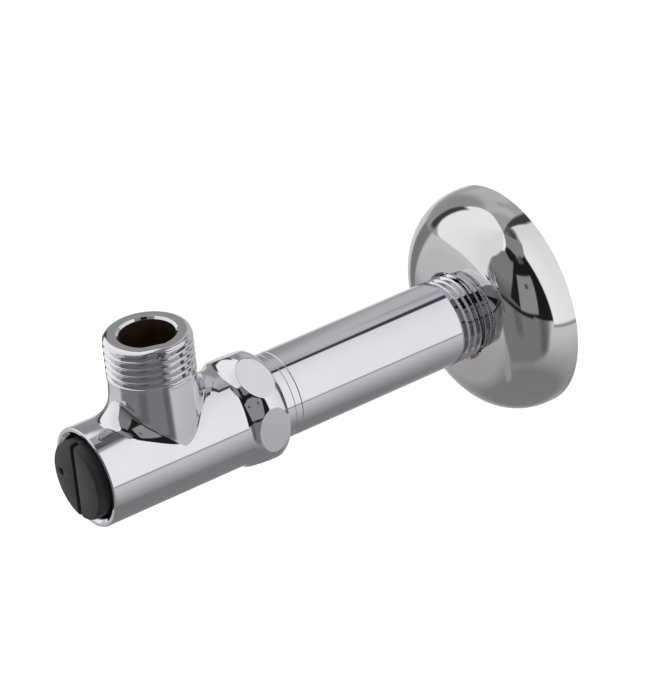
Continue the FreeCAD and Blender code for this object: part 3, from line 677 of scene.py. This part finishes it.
def add_outlet_bore(shell, turns, bore_turns):
    """Chromed rim of the outlet and the bore that leads down into the water chamber."""
    below = OUTLET_HEIGHT - 2 * OUTLET_BORE_CHAMFER
    lip = profile([
        (THREAD_RADIUS - OUTLET_SHOULDER, OUTLET_HEIGHT),
        (OUTLET_BORE_RADIUS + OUTLET_BORE_CHAMFER, OUTLET_HEIGHT),
        (OUTLET_BORE_RADIUS, OUTLET_HEIGHT - OUTLET_BORE_CHAMFER),
        (OUTLET_BORE_RADIUS, below),
    ])
    revolve(shell, lip[:3], turns, about=around_branch)
    revolve(shell, lip[3:], turns, slot=1, about=around_branch)
    share = np.linspace(0, 1, BORE_ROWS + 1)[:, None]
    angles = turns + (bore_turns - turns) * share
    foot = np.sqrt(CHAMBER_RADIUS**2 - (OUTLET_BORE_RADIUS * np.cos(angles)) ** 2)
    heights = below + (foot - below) * share
    points = around_branch(OUTLET_BORE_RADIUS, heights, angles)
    shell.grid(points, around_branch(-1.0, 0.0, angles), slot=1)


def add_neck(shell):
    groove_start, groove_middle, groove_end = NECK_GROOVE
    neck = [
        (CROWN_BACK_RADIUS, CROWN_END),
        (COLLAR_END_RADIUS, COLLAR_END),
        (NECK_RADIUS, COLLAR_END, NECK_ROOT_ROUNDING),
        (NECK_RADIUS, groove_start, NECK_GROOVE_ROUNDING),
        (NECK_GROOVE_RADIUS, groove_middle, NECK_GROOVE_ROUNDING),
        (NECK_RING_RADIUS, groove_end, NECK_GROOVE_ROUNDING),
        (NECK_RING_RADIUS, NECK_END - NECK_EDGE, NECK_EDGE_ROUNDING),
        (NECK_RING_RADIUS - NECK_EDGE, NECK_END, NECK_EDGE_ROUNDING),
        (SPIGOT_BORE_RADIUS, NECK_END),
    ]
    lathe(shell, neck, COLUMNS)


def add_inlet_bore(shell):
    """Stepped bore from the neck's end to the water chamber."""
    inlet = [
        (SPIGOT_BORE_RADIUS, NECK_END),
        (SPIGOT_BORE_RADIUS, SPIGOT_BORE_START),
        (PILOT_BORE_RADIUS, PILOT_BORE_END),
        (PILOT_BORE_RADIUS, SOCKET),
        (INLET_RADIUS, SOCKET),
        (INLET_RADIUS, INLET_START),
        (SEAT_HOLE_RADIUS, SEAT_BACK),
        (SEAT_HOLE_RADIUS, SEAT),
        (CHAMBER_RADIUS, SEAT),
    ]
    lathe(shell, inlet, COLUMNS, slot=1)


def add_front(shell):
    """Opening that holds the headwork, and the chromed rim in front of it."""
    opening = [
        (CHAMBER_RADIUS, HEAD_THREAD_END),
        (HEAD_THREAD_RADIUS, HEAD_THREAD_END),
        (HEAD_THREAD_RADIUS, HEAD_SEAT),
        (RECESS_RADIUS, HEAD_SEAT),
        (RECESS_RADIUS, FRONT + 2 * RIM_CHAMFER),
    ]
    lathe(shell, opening, COLUMNS, slot=1)
    rim = [
        opening[-1],
        (RECESS_RADIUS, FRONT + RIM_CHAMFER),
        (RECESS_RADIUS + RIM_CHAMFER, FRONT),
        (BARREL_RADIUS, FRONT, BARREL_EDGE),
        (BARREL_RADIUS, FRONT + 2 * BARREL_EDGE),
    ]
    # The last stretch is left out, because the barrel's wall starts there.
    revolve(shell, profile(rim)[:-1], COLUMNS)


def valve_body(chrome, inside):
    shell = Shell()
    turns = add_barrel(shell)
    add_blend(shell, turns)
    add_branch(shell, turns)
    add_outlet_thread(shell, turns)
    bore_turns = add_chamber(shell, len(turns) - 1)
    add_outlet_bore(shell, turns, bore_turns)
    add_collar(shell)
    add_neck(shell)
    add_inlet_bore(shell)
    add_front(shell)
    return shell.build("valve_body_chrome", [chrome, inside])


# Inlet tube
def inlet_limit(places):
    climb = (places - INLET_THREAD_START) / INLET_LEAD
    return np.clip(RELIEF_RADIUS + (THREAD_RADIUS - RELIEF_RADIUS) * climb, RELIEF_RADIUS, THREAD_RADIUS)


def add_tube_outside(shell):
    groove_start, groove_end = RING_GROOVE
    outside = [
        (TUBE_BORE_RADIUS, TUBE_START + TUBE_BORE_CHAMFER),
        (TUBE_BORE_RADIUS + TUBE_BORE_CHAMFER, TUBE_START),
        (PILOT_RADIUS - PILOT_CHAMFER, TUBE_START),
        (PILOT_RADIUS, TUBE_START + PILOT_CHAMFER),
        (PILOT_RADIUS, groove_start),
        (RING_GROOVE_RADIUS, groove_start),
        (RING_GROOVE_RADIUS, groove_end),
        (PILOT_RADIUS, groove_end),
        (PILOT_RADIUS, PILOT_BORE_END),
        (SPIGOT_RADIUS, SPIGOT_START),
        (SPIGOT_RADIUS, NECK_END),
        (TUBE_RADIUS - TUBE_EDGE, NECK_END, TUBE_EDGE_ROUNDING),
        (TUBE_RADIUS, NECK_END + TUBE_EDGE, TUBE_EDGE_ROUNDING),
        (TUBE_RADIUS, TUBE_END - TUBE_EDGE),
        (TUBE_RADIUS - TUBE_EDGE, TUBE_END),
        (RELIEF_RADIUS, TUBE_END, RELIEF_ROUNDING),
        (RELIEF_RADIUS, INLET_THREAD_START),
    ]
    lathe(shell, outside, COLUMNS)


def add_inlet_thread(shell):
    """Thread with a chamfered end, and the flat face behind it."""
    thread = Thread(INLET_GROOVE_PLACE, INLET_GROOVE_ANGLE, np.ones_like, inlet_limit)
    thread.add(shell, INLET_THREAD_START, INLET_THREAD_END, COLUMNS, around_valve)
    rim = (THREAD_RADIUS - INLET_CHAMFER, INLET_REACH)
    chamfer = straight((THREAD_RADIUS, INLET_THREAD_END), rim, INLET_CHAMFER_ROWS)
    thread.add_end(shell, chamfer, COLUMNS, around_valve)
    cut = np.minimum(thread.radius(INLET_REACH, COLUMNS), rim[0])
    face = np.stack([cut, np.full(len(COLUMNS), INLET_END_RADIUS)])
    shell.grid(around_valve(face, INLET_REACH, COLUMNS), (0.0, 1.0, 0.0))


def add_tube_bore(shell):
    mouth = [
        (INLET_END_RADIUS, INLET_REACH),
        (TUBE_BORE_RADIUS + TUBE_BORE_CHAMFER, INLET_REACH),
        (TUBE_BORE_RADIUS, INLET_REACH - TUBE_BORE_CHAMFER),
        (TUBE_BORE_RADIUS, INLET_REACH - CHROMED_BORE),
    ]
    lathe(shell, mouth, COLUMNS)
    passage = [mouth[-1], (TUBE_BORE_RADIUS, TUBE_START + TUBE_BORE_CHAMFER)]
    lathe(shell, passage, COLUMNS, slot=1)


def inlet_tube(chrome, inside):
    shell = Shell()
    add_tube_outside(shell)
    add_inlet_thread(shell)
    add_tube_bore(shell)
    return shell.build("inlet_tube_chrome", [chrome, inside])


# Wall flange
def bend_angle(radius, center_radius):
    """Angle at which a bend of this radius meets the crease."""
    return -math.acos((FLANGE_CREASE_RADIUS - center_radius) / radius)


def wall_flange(chrome, inside):
    shell = Shell()
    columns = np.linspace(0, FULL_TURN, FLANGE_SIDES + 1)
    skirt = WALL_TO_OUTLET - FLANGE_SKIRT
    center = (FLANGE_RADIUS - FLANGE_BEND, skirt)
    inner_bend = FLANGE_BEND - FLANGE_WALL
    inner_angle = bend_angle(inner_bend, center[0])
    crease = skirt + FLANGE_BEND * math.sin(bend_angle(FLANGE_BEND, center[0]))
    slope = (crease - FLANGE_FACE) / (FLANGE_CREASE_RADIUS - FLANGE_HOLE_RADIUS)
    revolve(shell, flange_front(center, slope), columns)
    rim = [
        (FLANGE_RADIUS, skirt),
        (FLANGE_RADIUS, WALL_TO_OUTLET, FLANGE_RIM_ROUNDING),
        (FLANGE_RADIUS - FLANGE_WALL, WALL_TO_OUTLET),
        (FLANGE_RADIUS - FLANGE_WALL, skirt),
    ]
    lathe(shell, rim, columns)
    hollow = arc(center, inner_bend, 0.0, inner_angle, HOLLOW_ARC_STEPS, side=-1)
    revolve(shell, [hollow], columns, slot=1)
    outside = FLANGE_HOLE_RADIUS + FLANGE_WALL
    collar = [
        (FLANGE_CREASE_RADIUS, skirt + inner_bend * math.sin(inner_angle)),
        (outside, FLANGE_FACE + FLANGE_WALL + FLANGE_COLLAR_ROOT),
        (outside, FLANGE_FACE + FLANGE_COLLAR),
        (FLANGE_HOLE_RADIUS, FLANGE_FACE + FLANGE_COLLAR),
        (FLANGE_HOLE_RADIUS, FLANGE_FACE + FLANGE_LIP),
    ]
    lathe(shell, collar, columns, slot=1)
    lip = [
        collar[-1],
        (FLANGE_HOLE_RADIUS, FLANGE_FACE, FLANGE_HOLE_EDGE),
        (FLANGE_HOLE_RADIUS + FLANGE_LIP, FLANGE_FACE + FLANGE_LIP * slope),
    ]
    lathe(shell, lip, columns)
    return shell.build("wall_flange_chrome", [chrome, inside])


def flange_front(center, slope):
    """Dish, blend and shoulder of the flange's front; the blend touches both."""
    tilt = math.atan(slope)
    outwards = np.array([math.cos(tilt), math.sin(tilt)])
    backwards = np.array([-math.sin(tilt), math.cos(tilt)])
    start = np.array([FLANGE_HOLE_RADIUS, FLANGE_FACE])
    back = (np.array(center) - start) @ backwards - FLANGE_BLEND
    shift = math.sqrt((FLANGE_BEND - FLANGE_BLEND) ** 2 - back**2)
    offset = shift * outwards - back * backwards
    blend_center = center + offset
    meeting = math.atan2(offset[1], offset[0])
    dish_start = start + FLANGE_LIP * np.array([1.0, slope])
    dish = straight(dish_start, blend_center - FLANGE_BLEND * backwards)
    blend = arc(blend_center, FLANGE_BLEND, tilt - QUARTER_TURN, meeting, BLEND_ARC_STEPS)
    shoulder = arc(center, FLANGE_BEND, meeting, 0.0, SHOULDER_ARC_STEPS)
    return dish, blend, shoulder


# Black disc, cut from a turned blank
def slotted_disc(plastic):
    piece = disc_blank(plastic)
    slot_places = (DISC_FRONT - CUTTER_MARGIN, DISC_FRONT + SLOT_DEPTH)
    slot = box_cutter(SLOT_WIDTH / 2, slot_places, CUTTER_REACH)
    drive_places = (DRIVE_START, SOCKET_RING_END + CUTTER_MARGIN)
    drive = box_cutter(DRIVE_HALF_WIDTH, drive_places, DRIVE_HALF_WIDTH)
    cutters = [slot, drive, dimple_cutter()]
    for cutter in cutters:
        cut = piece.modifiers.new("cut", "BOOLEAN")
        cut.operation = "DIFFERENCE"
        cut.object = cutter
    bevel = piece.modifiers.new("edges", "BEVEL")
    bevel.width = DISC_BEVEL * MM
    bevel.segments = BEVEL_SEGMENTS
    bevel.limit_method = "ANGLE"
    bevel.angle_limit = math.radians(BEVEL_ANGLE)
    apply_modifiers(piece)
    for cutter in cutters:
        bpy.data.objects.remove(cutter)
    smooth_by_angle(piece.data)
    return piece


def disc_blank(plastic):
    shell = Shell()
    outline = [
        (0.0, DISC_FRONT),
        (DISC_RADIUS, DISC_FRONT, DISC_EDGE),
        (DISC_RADIUS, DISC_BACK, DISC_BACK_EDGE),
        (SOCKET_RING_RADIUS, DISC_BACK),
        (SOCKET_RING_RADIUS, SOCKET_RING_END),
        (0.0, SOCKET_RING_END),
    ]
    lathe(shell, outline, np.linspace(0, FULL_TURN, DISC_SIDES + 1))
    return shell.build("slotted_disc_plastic", [plastic])


def box_cutter(half_width, places, half_height):
    mesh = bpy.data.meshes.new("cutter")
    shape = bmesh.new()
    bmesh.ops.create_cube(shape, size=1.0)
    start, end = places
    low, high = in_frame([(-half_width, start, -half_height), (half_width, end, half_height)])
    for vertex in shape.verts:
        vertex.co = [high[axis] if vertex.co[axis] > 0 else low[axis] for axis in range(3)]
    shape.to_mesh(mesh)
    shape.free()
    return add_piece("cutter", mesh)


def dimple_cutter():
    """Shallow round cutter for the mark in the disc's face."""
    shell = Shell()
    depth = DISC_FRONT + DIMPLE_DEPTH
    outline = [
        (0.0, DISC_FRONT - CUTTER_MARGIN),
        (DIMPLE_RADIUS, DISC_FRONT - CUTTER_MARGIN),
        (DIMPLE_RADIUS, depth, DIMPLE_ROUNDING),
        (0.0, depth),
    ]
    lathe(shell, outline, np.linspace(0, FULL_TURN, DIMPLE_SIDES + 1))
    cutter = shell.build("cutter", [])
    cutter.data.transform(Matrix.Translation((DIMPLE_PLACE * MM, 0, 0)))
    return cutter


def apply_modifiers(piece):
    graph = bpy.context.evaluated_depsgraph_get()
    finished = bpy.data.meshes.new_from_object(piece.evaluated_get(graph))
    piece.modifiers.clear()
    piece.data = finished


def smooth_by_angle(mesh):
    for name in ("custom_normal", "sharp_face"):
        if name in mesh.attributes:
            mesh.attributes.remove(mesh.attributes[name])
    mesh.shade_smooth()
    mesh.set_sharp_from_angle(angle=math.radians(SMOOTH_ANGLE))


# Materials
def connect(tree, value, socket):
    """Give a socket a value, or a link from an output."""
    if isinstance(value, (int, float, tuple)):
        socket.default_value = value
    else:
        tree.links.new(value, socket)


def add_node(tree, kind, inputs, **settings):
    node = tree.nodes.new("ShaderNode" + kind)
    for name, value in settings.items():
        setattr(node, name, value)
    for name, value in inputs.items():
        connect(tree, value, node.inputs[name])
    return node


class Look:
    """Procedural material on a Principled shader, in object coordinates."""

    def __init__(self, name, metallic=0.0):
        self.material = bpy.data.materials.new(name)
        self.material.use_nodes = True
        self.tree = self.material.node_tree
        self.shade("Metallic", metallic)

    def shade(self, name, value):
        connect(self.tree, value, self.tree.nodes["Principled BSDF"].inputs[name])

    def noise(self, scale, detail=3.0, stretch=None):
        place = add_node(self.tree, "TexCoord", {}).outputs["Object"]
        if stretch is not None:
            place = add_node(self.tree, "Mapping", {"Vector": place, "Scale": stretch}).outputs["Vector"]
        noise = add_node(self.tree, "TexNoise", {"Vector": place, "Scale": scale, "Detail": detail})
        return noise.outputs["Fac"]

    def cloud(self, scale, dark, light, detail=4.0, span=(0.3, 0.7)):
        """Two tones that a noise blends within its span."""
        ramp = add_node(self.tree, "ValToRGB", {"Fac": self.noise(scale, detail)})
        for element, position, tone in zip(ramp.color_ramp.elements, span, (dark, light)):
            element.position = position
            element.color = (*tone, 1.0)
        self.shade("Base Color", ramp.outputs["Color"])

    def roughness(self, scale, low, high):
        span = {"Value": self.noise(scale), "To Min": low, "To Max": high}
        self.shade("Roughness", add_node(self.tree, "MapRange", span).outputs["Result"])

    def grain(self, scale, strength, depth, detail=2.0, stretch=None):
        """Fine relief, its depth in millimetres."""
        height = self.noise(scale, detail, stretch)
        relief = {"Height": height, "Strength": strength, "Distance": depth * MM}
        self.shade("Normal", add_node(self.tree, "Bump", relief).outputs["Normal"])


def chrome_look(name, dark, light):
    look = Look(name, metallic=1.0)
    look.cloud(scale=60.0, detail=3.0, dark=dark, light=light, span=(0.35, 0.65))
    look.roughness(scale=180.0, low=0.03, high=0.06)
    look.grain(scale=900.0, strength=0.02, depth=0.01)
    return look.material


# Brass of the bores and hollows: its own brass colour, darkened as painted shade of the inside surfaces.
def shaded_bore_look():
    look = Look("brass_bore_painted_shade", metallic=1.0)
    look.cloud(scale=200.0, dark=(0.3, 0.23, 0.15), light=(0.42, 0.34, 0.24))
    look.roughness(scale=900.0, low=0.28, high=0.45)
    look.grain(scale=1500.0, strength=0.25, depth=0.04, stretch=(0.3, 0.3, 3.0))
    return look.material


def brass_look():
    look = Look("machined_brass", metallic=1.0)
    look.cloud(scale=120.0, dark=(0.72, 0.52, 0.24), light=(0.82, 0.63, 0.33))
    look.roughness(scale=600.0, low=0.22, high=0.38)
    look.grain(scale=1200.0, strength=0.2, depth=0.03, stretch=(0.4, 3.0, 0.4))
    return look.material


def plastic_look():
    look = Look("moulded_black_plastic")
    look.cloud(scale=250.0, dark=(0.012, 0.012, 0.013), light=(0.022, 0.022, 0.023))
    look.roughness(scale=500.0, low=0.42, high=0.58)
    look.grain(scale=2200.0, strength=0.25, depth=0.05, detail=3.0)
    return look.material


def rubber_look():
    look = Look("seal_rubber")
    look.cloud(scale=400.0, dark=(0.012, 0.012, 0.012), light=(0.03, 0.03, 0.03))
    look.roughness(scale=900.0, low=0.55, high=0.75)
    look.grain(scale=3000.0, strength=0.2, depth=0.04)
    return look.material


def steel_look():
    look = Look("spring_steel", metallic=1.0)
    look.cloud(scale=300.0, dark=(0.5, 0.5, 0.5), light=(0.6, 0.6, 0.61), detail=3.0)
    look.roughness(scale=1200.0, low=0.25, high=0.4)
    look.grain(scale=2500.0, strength=0.15, depth=0.02)
    return look.material


def washer_look():
    look = Look("white_plastic")
    look.cloud(scale=300.0, dark=(0.72, 0.71, 0.68), light=(0.8, 0.79, 0.77), detail=3.0)
    look.roughness(scale=900.0, low=0.35, high=0.5)
    look.grain(scale=2500.0, strength=0.15, depth=0.03)
    return look.material


def ceramic_look():
    look = Look("polished_ceramic")
    look.cloud(scale=500.0, dark=(0.74, 0.73, 0.7), light=(0.82, 0.81, 0.79), detail=5.0)
    look.roughness(scale=1500.0, low=0.12, high=0.25)
    look.grain(scale=4000.0, strength=0.1, depth=0.01)
    return look.material


chrome = chrome_look("polished_chrome", dark=(0.656, 0.651, 0.682), light=(0.68, 0.674, 0.706))
flange_chrome = chrome_look("polished_flange_chrome", dark=(0.656, 0.646, 0.65), light=(0.68, 0.669, 0.673))
# Inside surfaces get the brass with painted shade.
bore = shaded_bore_look()

body_piece = valve_body(chrome, bore)
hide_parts("valve_body")
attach(body_piece, "valve")

tube_piece = inlet_tube(chrome, bore)
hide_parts("inlet_tube")
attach(tube_piece, "valve")

flange_piece = wall_flange(flange_chrome, bore)
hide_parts("wall_flange")
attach(flange_piece, "flange")

disc_piece = slotted_disc(plastic_look())
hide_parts("slotted_disc")
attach(disc_piece, "spindle_group")

INNER_LOOKS = {
    brass_look: ("headwork_housing", "spindle"),
    rubber_look: (
        "housing_seal_ring",
        "front_spindle_seal_ring",
        "rear_spindle_seal_ring",
        "tube_seal_ring",
        "seat_gasket",
    ),
    steel_look: ("spindle_clip",),
    washer_look: ("thrust_washer",),
    ceramic_look: ("moving_ceramic_disc", "fixed_ceramic_disc"),
}
for make_look, nodes in INNER_LOOKS.items():
    look = make_look()
    for node in nodes:
        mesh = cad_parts[node].data
        mesh.materials.clear()
        mesh.materials.append(look)


# Stage, lights and camera, in metres and degrees
WHITE = (1.0, 1.0, 1.0, 1.0)
FLOOR_HEIGHT = -0.12
FLOOR_REACH = 4.0
FLOOR_GREY = 0.85
FLOOR_ROUGHNESS = 0.9
FLOOR_GLOW = 0.35
STUDIO_CENTER = (0.0, -0.06, 0.0)
STUDIO_RADIUS = 0.28
STUDIO_LEVEL = 1.31
WORLD_LIGHT = 0.65
LAMP_DISTANCE = 1.6
LAMP_SIZE = 1.0
CAMERA_PLACE = (0.687172, -0.495051, 0.47976)
CAMERA_AZIMUTH = 122.6798
CAMERA_ELEVATION = 30.1077
CAMERA_ROLL = 5.6169
CAMERA_SENSOR = 36.0
PHOTO_HEIGHT = 700.0
FOCAL_PIXELS = 4004.0
CLIP_START = 0.05
CLIP_END = 20.0


def box(left, low, right, high):
    return (left, low), (right, low), (right, high), (left, high)


# Surroundings that the chrome mirrors: corners of azimuth and elevation in degrees, seen from the
# object. Azimuth 0 is towards the wall and 90 to the right. Each zone covers the ones before it.
# Behind the corners come the brightness, which is one level or a fade between two levels from one
# corner to another, and the softness of the zone's edge.
SEAM = -40.0
ROOM = 0.36
LEFT_BOX_SIDE = ((232, -7), (247, -1), (256, 8), (300, 66), (302, 95))
ZONES = [
    # walls of the room
    (box(-60, 8, -14, 62), 0.49, 6.0),
    (box(298, 12, 340, 62), 0.47, 5.0),
    (box(-60, 42, -14, 50), 0.37, 3.0),
    (((272, 0), (300, 0), (304, 50), (272, 50)), 0.28, 8.0),
    (((60, 60), (135, 50), (150, 95), (60, 95)), 0.24, 3.0),
    # floor of the room and what lies on it
    (box(-60, -95, 340, -2), (0.2, 0.57, (0, -58), (0, -18)), 2.0),
    (((92, -38), (120, -50), (190, -50), (206, -34), (204, 8), (84, 8)), 0.19, 5.0),
    (box(94, -36, 106, 2), 0.12, 5.0),
    (box(145, -24, 162, 2), 0.13, 5.0),
    (((194, -62), (212, -62), (208, -36), (198, -36)), 0.32, 3.0),
    (box(256, -30, 280, 0), 0.19, 3.0),
    # left light box with a brighter rim, and the dark gap beside it
    (((130, 95), (142, 72), (190, 0), (205, -7), *LEFT_BOX_SIDE), 1.0, 2.0),
    (((150, 95), (152, 74), (200, 0), (208, -7), *LEFT_BOX_SIDE), (0.77, 0.89, (200, 0), (245, 0)), 2.0),
    (((256, 2), (268, 2), (276, 20), (281, 38), (276, 46), (266, 28)), 0.05, 3.0),
    # grey wall between the boxes, with a dark line along its foot
    (((125, 0), (200, 0), (185, 40), (163, 62), (148, 66), (130, 60)), (0.1, 0.21, (0, 2), (0, 28)), 1.8),
    (((116, -2), (165, -1), (165, 3), (116, 4)), 0.02, 1.2),
    (((160, -1), (204, -4), (204, 0), (160, 3)), 0.02, 1.2),
    # black opening with a grey window
    (((70, -8), (92, -4), (126, -1), (164, 3), (135, 50), (126, 62), (95, 60), (70, 60)), 0.012, 1.5),
    (((126, 55), (138, 55), (151, 66), (143, 72), (126, 70), (112, 62)), 0.014, 2.0),
    (((100, 54), (114, 54), (116, 60), (98, 62)), 0.09, 1.5),
    (((105, 3), (141, 3), (141, 12), (137, 25), (133, 41), (99, 41), (99, 34)), 0.27, 1.5),
    (box(113, 28, 120, 33), 0.08, 1.2),
    # right light box with the lines round it
    (((2, -13), (79, -8), (84, 40), (85, 57), (78, 63), (62, 67), (45, 71), (2, 73)),
     (0.72, 0.88, (5, 0), (75, 0)), 1.2),
    (((-20, -18), (80, -11), (80, -8.5), (-20, -15.5)), 0.3, 0.8),
    (((3, -22), (40, -18.5), (40, -13), (3, -14)), 0.08, 1.2),
    (box(2, -20, 11, 35), 0.06, 1.5),
    # dark ceiling, and the dark strip behind the right box
    (((-12, 73), (40, 73), (60, 71), (70, 95), (-12, 95)), (0.055, 0.14, (0, 76), (0, 86)), 3.0),
    (((-13, 40), (0, 40), (3, 78), (-13, 78)), 0.05, 2.5),
]


def direction(azimuth, elevation):
    azimuth, elevation = math.radians(azimuth), math.radians(elevation)
    level = math.cos(elevation)
    return Vector((math.sin(azimuth) * level, math.cos(azimuth) * level, math.sin(elevation)))


def floor():
    mesh = bpy.data.meshes.new("floor")
    corners = box(-FLOOR_REACH, -FLOOR_REACH, FLOOR_REACH, FLOOR_REACH)
    mesh.from_pydata([(*corner, FLOOR_HEIGHT) for corner in corners], [], [(0, 1, 2, 3)])
    look = Look("pale_floor")
    look.shade("Base Color", (FLOOR_GREY, FLOOR_GREY, FLOOR_GREY, 1.0))
    look.shade("Roughness", FLOOR_ROUGHNESS)
    look.shade("Emission Color", WHITE)
    seen = add_node(look.tree, "LightPath", {}).outputs["Is Camera Ray"]
    glow = add_node(look.tree, "Math", {0: seen, 1: FLOOR_GLOW}, operation="MULTIPLY")
    look.shade("Emission Strength", glow.outputs["Value"])
    mesh.materials.append(look.material)
    piece = add_piece("floor", mesh)
    piece.visible_glossy = False


class Surroundings:
    """Emission painted in zones of azimuth and elevation."""

    def __init__(self):
        self.material = bpy.data.materials.new("studio_surroundings")
        self.material.use_nodes = True
        self.tree = self.material.node_tree
        self.tree.nodes.clear()
        place = add_node(self.tree, "TexCoord", {}).outputs["Object"]
        ray = add_node(self.tree, "VectorMath", {0: place}, operation="NORMALIZE").outputs["Vector"]
        across, along, up = add_node(self.tree, "SeparateXYZ", {0: ray}).outputs
        azimuth = self.math("DEGREES", self.math("ARCTAN2", across, along))
        shifted = self.math("FLOORED_MODULO", self.math("ADD", azimuth, -SEAM), 360.0)
        elevation = self.math("DEGREES", self.math("ARCSINE", up))
        parts = {0: self.math("ADD", shifted, SEAM), 1: elevation, 2: 1.0}
        self.angles = add_node(self.tree, "CombineXYZ", parts).outputs[0]

    def math(self, operation, *values):
        return add_node(self.tree, "Math", dict(enumerate(values)), operation=operation).outputs[0]

    def climb(self, start, slope, span, **settings):
        """Value that climbs from a corner by a slope over azimuth and elevation, mapped to a span."""
        plane = (*slope, -(slope[0] * start[0] + slope[1] * start[1]))
        height = add_node(self.tree, "VectorMath", {0: self.angles, 1: plane}, operation="DOT_PRODUCT")
        span["Value"] = height.outputs["Value"]
        return add_node(self.tree, "MapRange", span, **settings).outputs["Result"]

    def side(self, start, end, softness):
        """1 on the left of a line between two corners, 0 on its right."""
        length = math.dist(start, end)
        slope = ((start[1] - end[1]) / length, (end[0] - start[0]) / length)
        span = {"From Min": -softness, "From Max": softness}
        return self.climb(start, slope, span, interpolation_type="SMOOTHSTEP")

    def zone(self, corners, softness):
        mask = 1.0
        for start, end in zip(corners, corners[1:] + corners[:1]):
            mask = self.math("MULTIPLY", self.side(start, end, softness), mask)
        return mask

    def tone(self, brightness):
        """One level, or a fade from a low level at one corner to a high level at another."""
        if isinstance(brightness, float):
            return brightness
        low, high, start, end = brightness
        square = math.dist(start, end) ** 2
        slope = ((end[0] - start[0]) / square, (end[1] - start[1]) / square)
        return self.climb(start, slope, {"To Min": low, "To Max": high})

    def paint(self, base, zones):
        level = base
        for corners, brightness, softness in zones:
            layers = {"Factor": self.zone(corners, softness), "A": level, "B": self.tone(brightness)}
            level = add_node(self.tree, "Mix", layers).outputs["Result"]
        colour = (STUDIO_LEVEL, STUDIO_LEVEL, STUDIO_LEVEL, 1.0)
        glow = add_node(self.tree, "Emission", {"Color": colour, "Strength": level})
        add_node(self.tree, "OutputMaterial", {"Surface": glow.outputs[0]})
        self.material.cycles.emission_sampling = "NONE"
        return self.material


def studio_tent():
    mesh = bpy.data.meshes.new("studio_tent")
    shape = bmesh.new()
    bmesh.ops.create_uvsphere(shape, u_segments=64, v_segments=32, radius=STUDIO_RADIUS)
    shape.to_mesh(mesh)
    shape.free()
    mesh.materials.append(Surroundings().paint(ROOM, ZONES))
    tent = add_piece("studio_tent", mesh)
    tent.location = STUDIO_CENTER
    for kind in ("camera", "diffuse", "shadow", "volume_scatter"):
        setattr(tent, "visible_" + kind, False)


def studio_world():
    """White background; it lights dull surfaces a little less than it is seen."""
    world = bpy.data.worlds.new("studio")
    scene.world = world
    world.use_nodes = True
    tree = world.node_tree
    background = tree.nodes["Background"].inputs
    connect(tree, WHITE, background["Color"])
    rays = add_node(tree, "LightPath", {}).outputs
    shown = rays["Is Camera Ray"]
    for kind in ("Is Glossy Ray", "Is Transmission Ray"):
        shown = add_node(tree, "Math", {0: shown, 1: rays[kind]}, operation="MAXIMUM").outputs["Value"]
    strength = add_node(tree, "MapRange", {"Value": shown, "To Min": WORLD_LIGHT, "To Max": 1.0})
    connect(tree, strength.outputs["Result"], background["Strength"])


def lamp(name, azimuth, elevation, power):
    """Soft square lamp that looks at the object; the chrome mirrors the studio tent instead."""
    data = bpy.data.lights.new(name, "AREA")
    data.size = LAMP_SIZE
    data.energy = power
    item = bpy.data.objects.new(name, data)
    ray = direction(azimuth, elevation)
    item.location = Vector(STUDIO_CENTER) + ray * LAMP_DISTANCE
    item.rotation_euler = ray.to_track_quat("Z", "Y").to_euler()
    item.visible_glossy = False
    scene.collection.objects.link(item)


def camera():
    data = bpy.data.cameras.new("camera")
    data.sensor_width = CAMERA_SENSOR
    data.lens = FOCAL_PIXELS / PHOTO_HEIGHT * CAMERA_SENSOR
    data.clip_start = CLIP_START
    data.clip_end = CLIP_END
    back = direction(CAMERA_AZIMUTH, CAMERA_ELEVATION)
    right = direction(CAMERA_AZIMUTH - 90.0, 0.0)
    up = back.cross(right)
    roll = math.radians(CAMERA_ROLL)
    right_rolled = right * math.cos(roll) - up * math.sin(roll)
    up_rolled = up * math.cos(roll) + right * math.sin(roll)
    turn = Matrix((right_rolled, up_rolled, back)).transposed()
    item = bpy.data.objects.new("camera", data)
    item.matrix_world = Matrix.Translation(CAMERA_PLACE) @ turn.to_4x4()
    scene.collection.objects.link(item)
    scene.camera = item


floor()
studio_tent()
studio_world()
lamp("left_lamp", azimuth=232.0, elevation=45.0, power=6.0)
lamp("right_lamp", azimuth=60.0, elevation=35.0, power=4.0)
camera()
scene.view_settings.view_transform = "Standard"
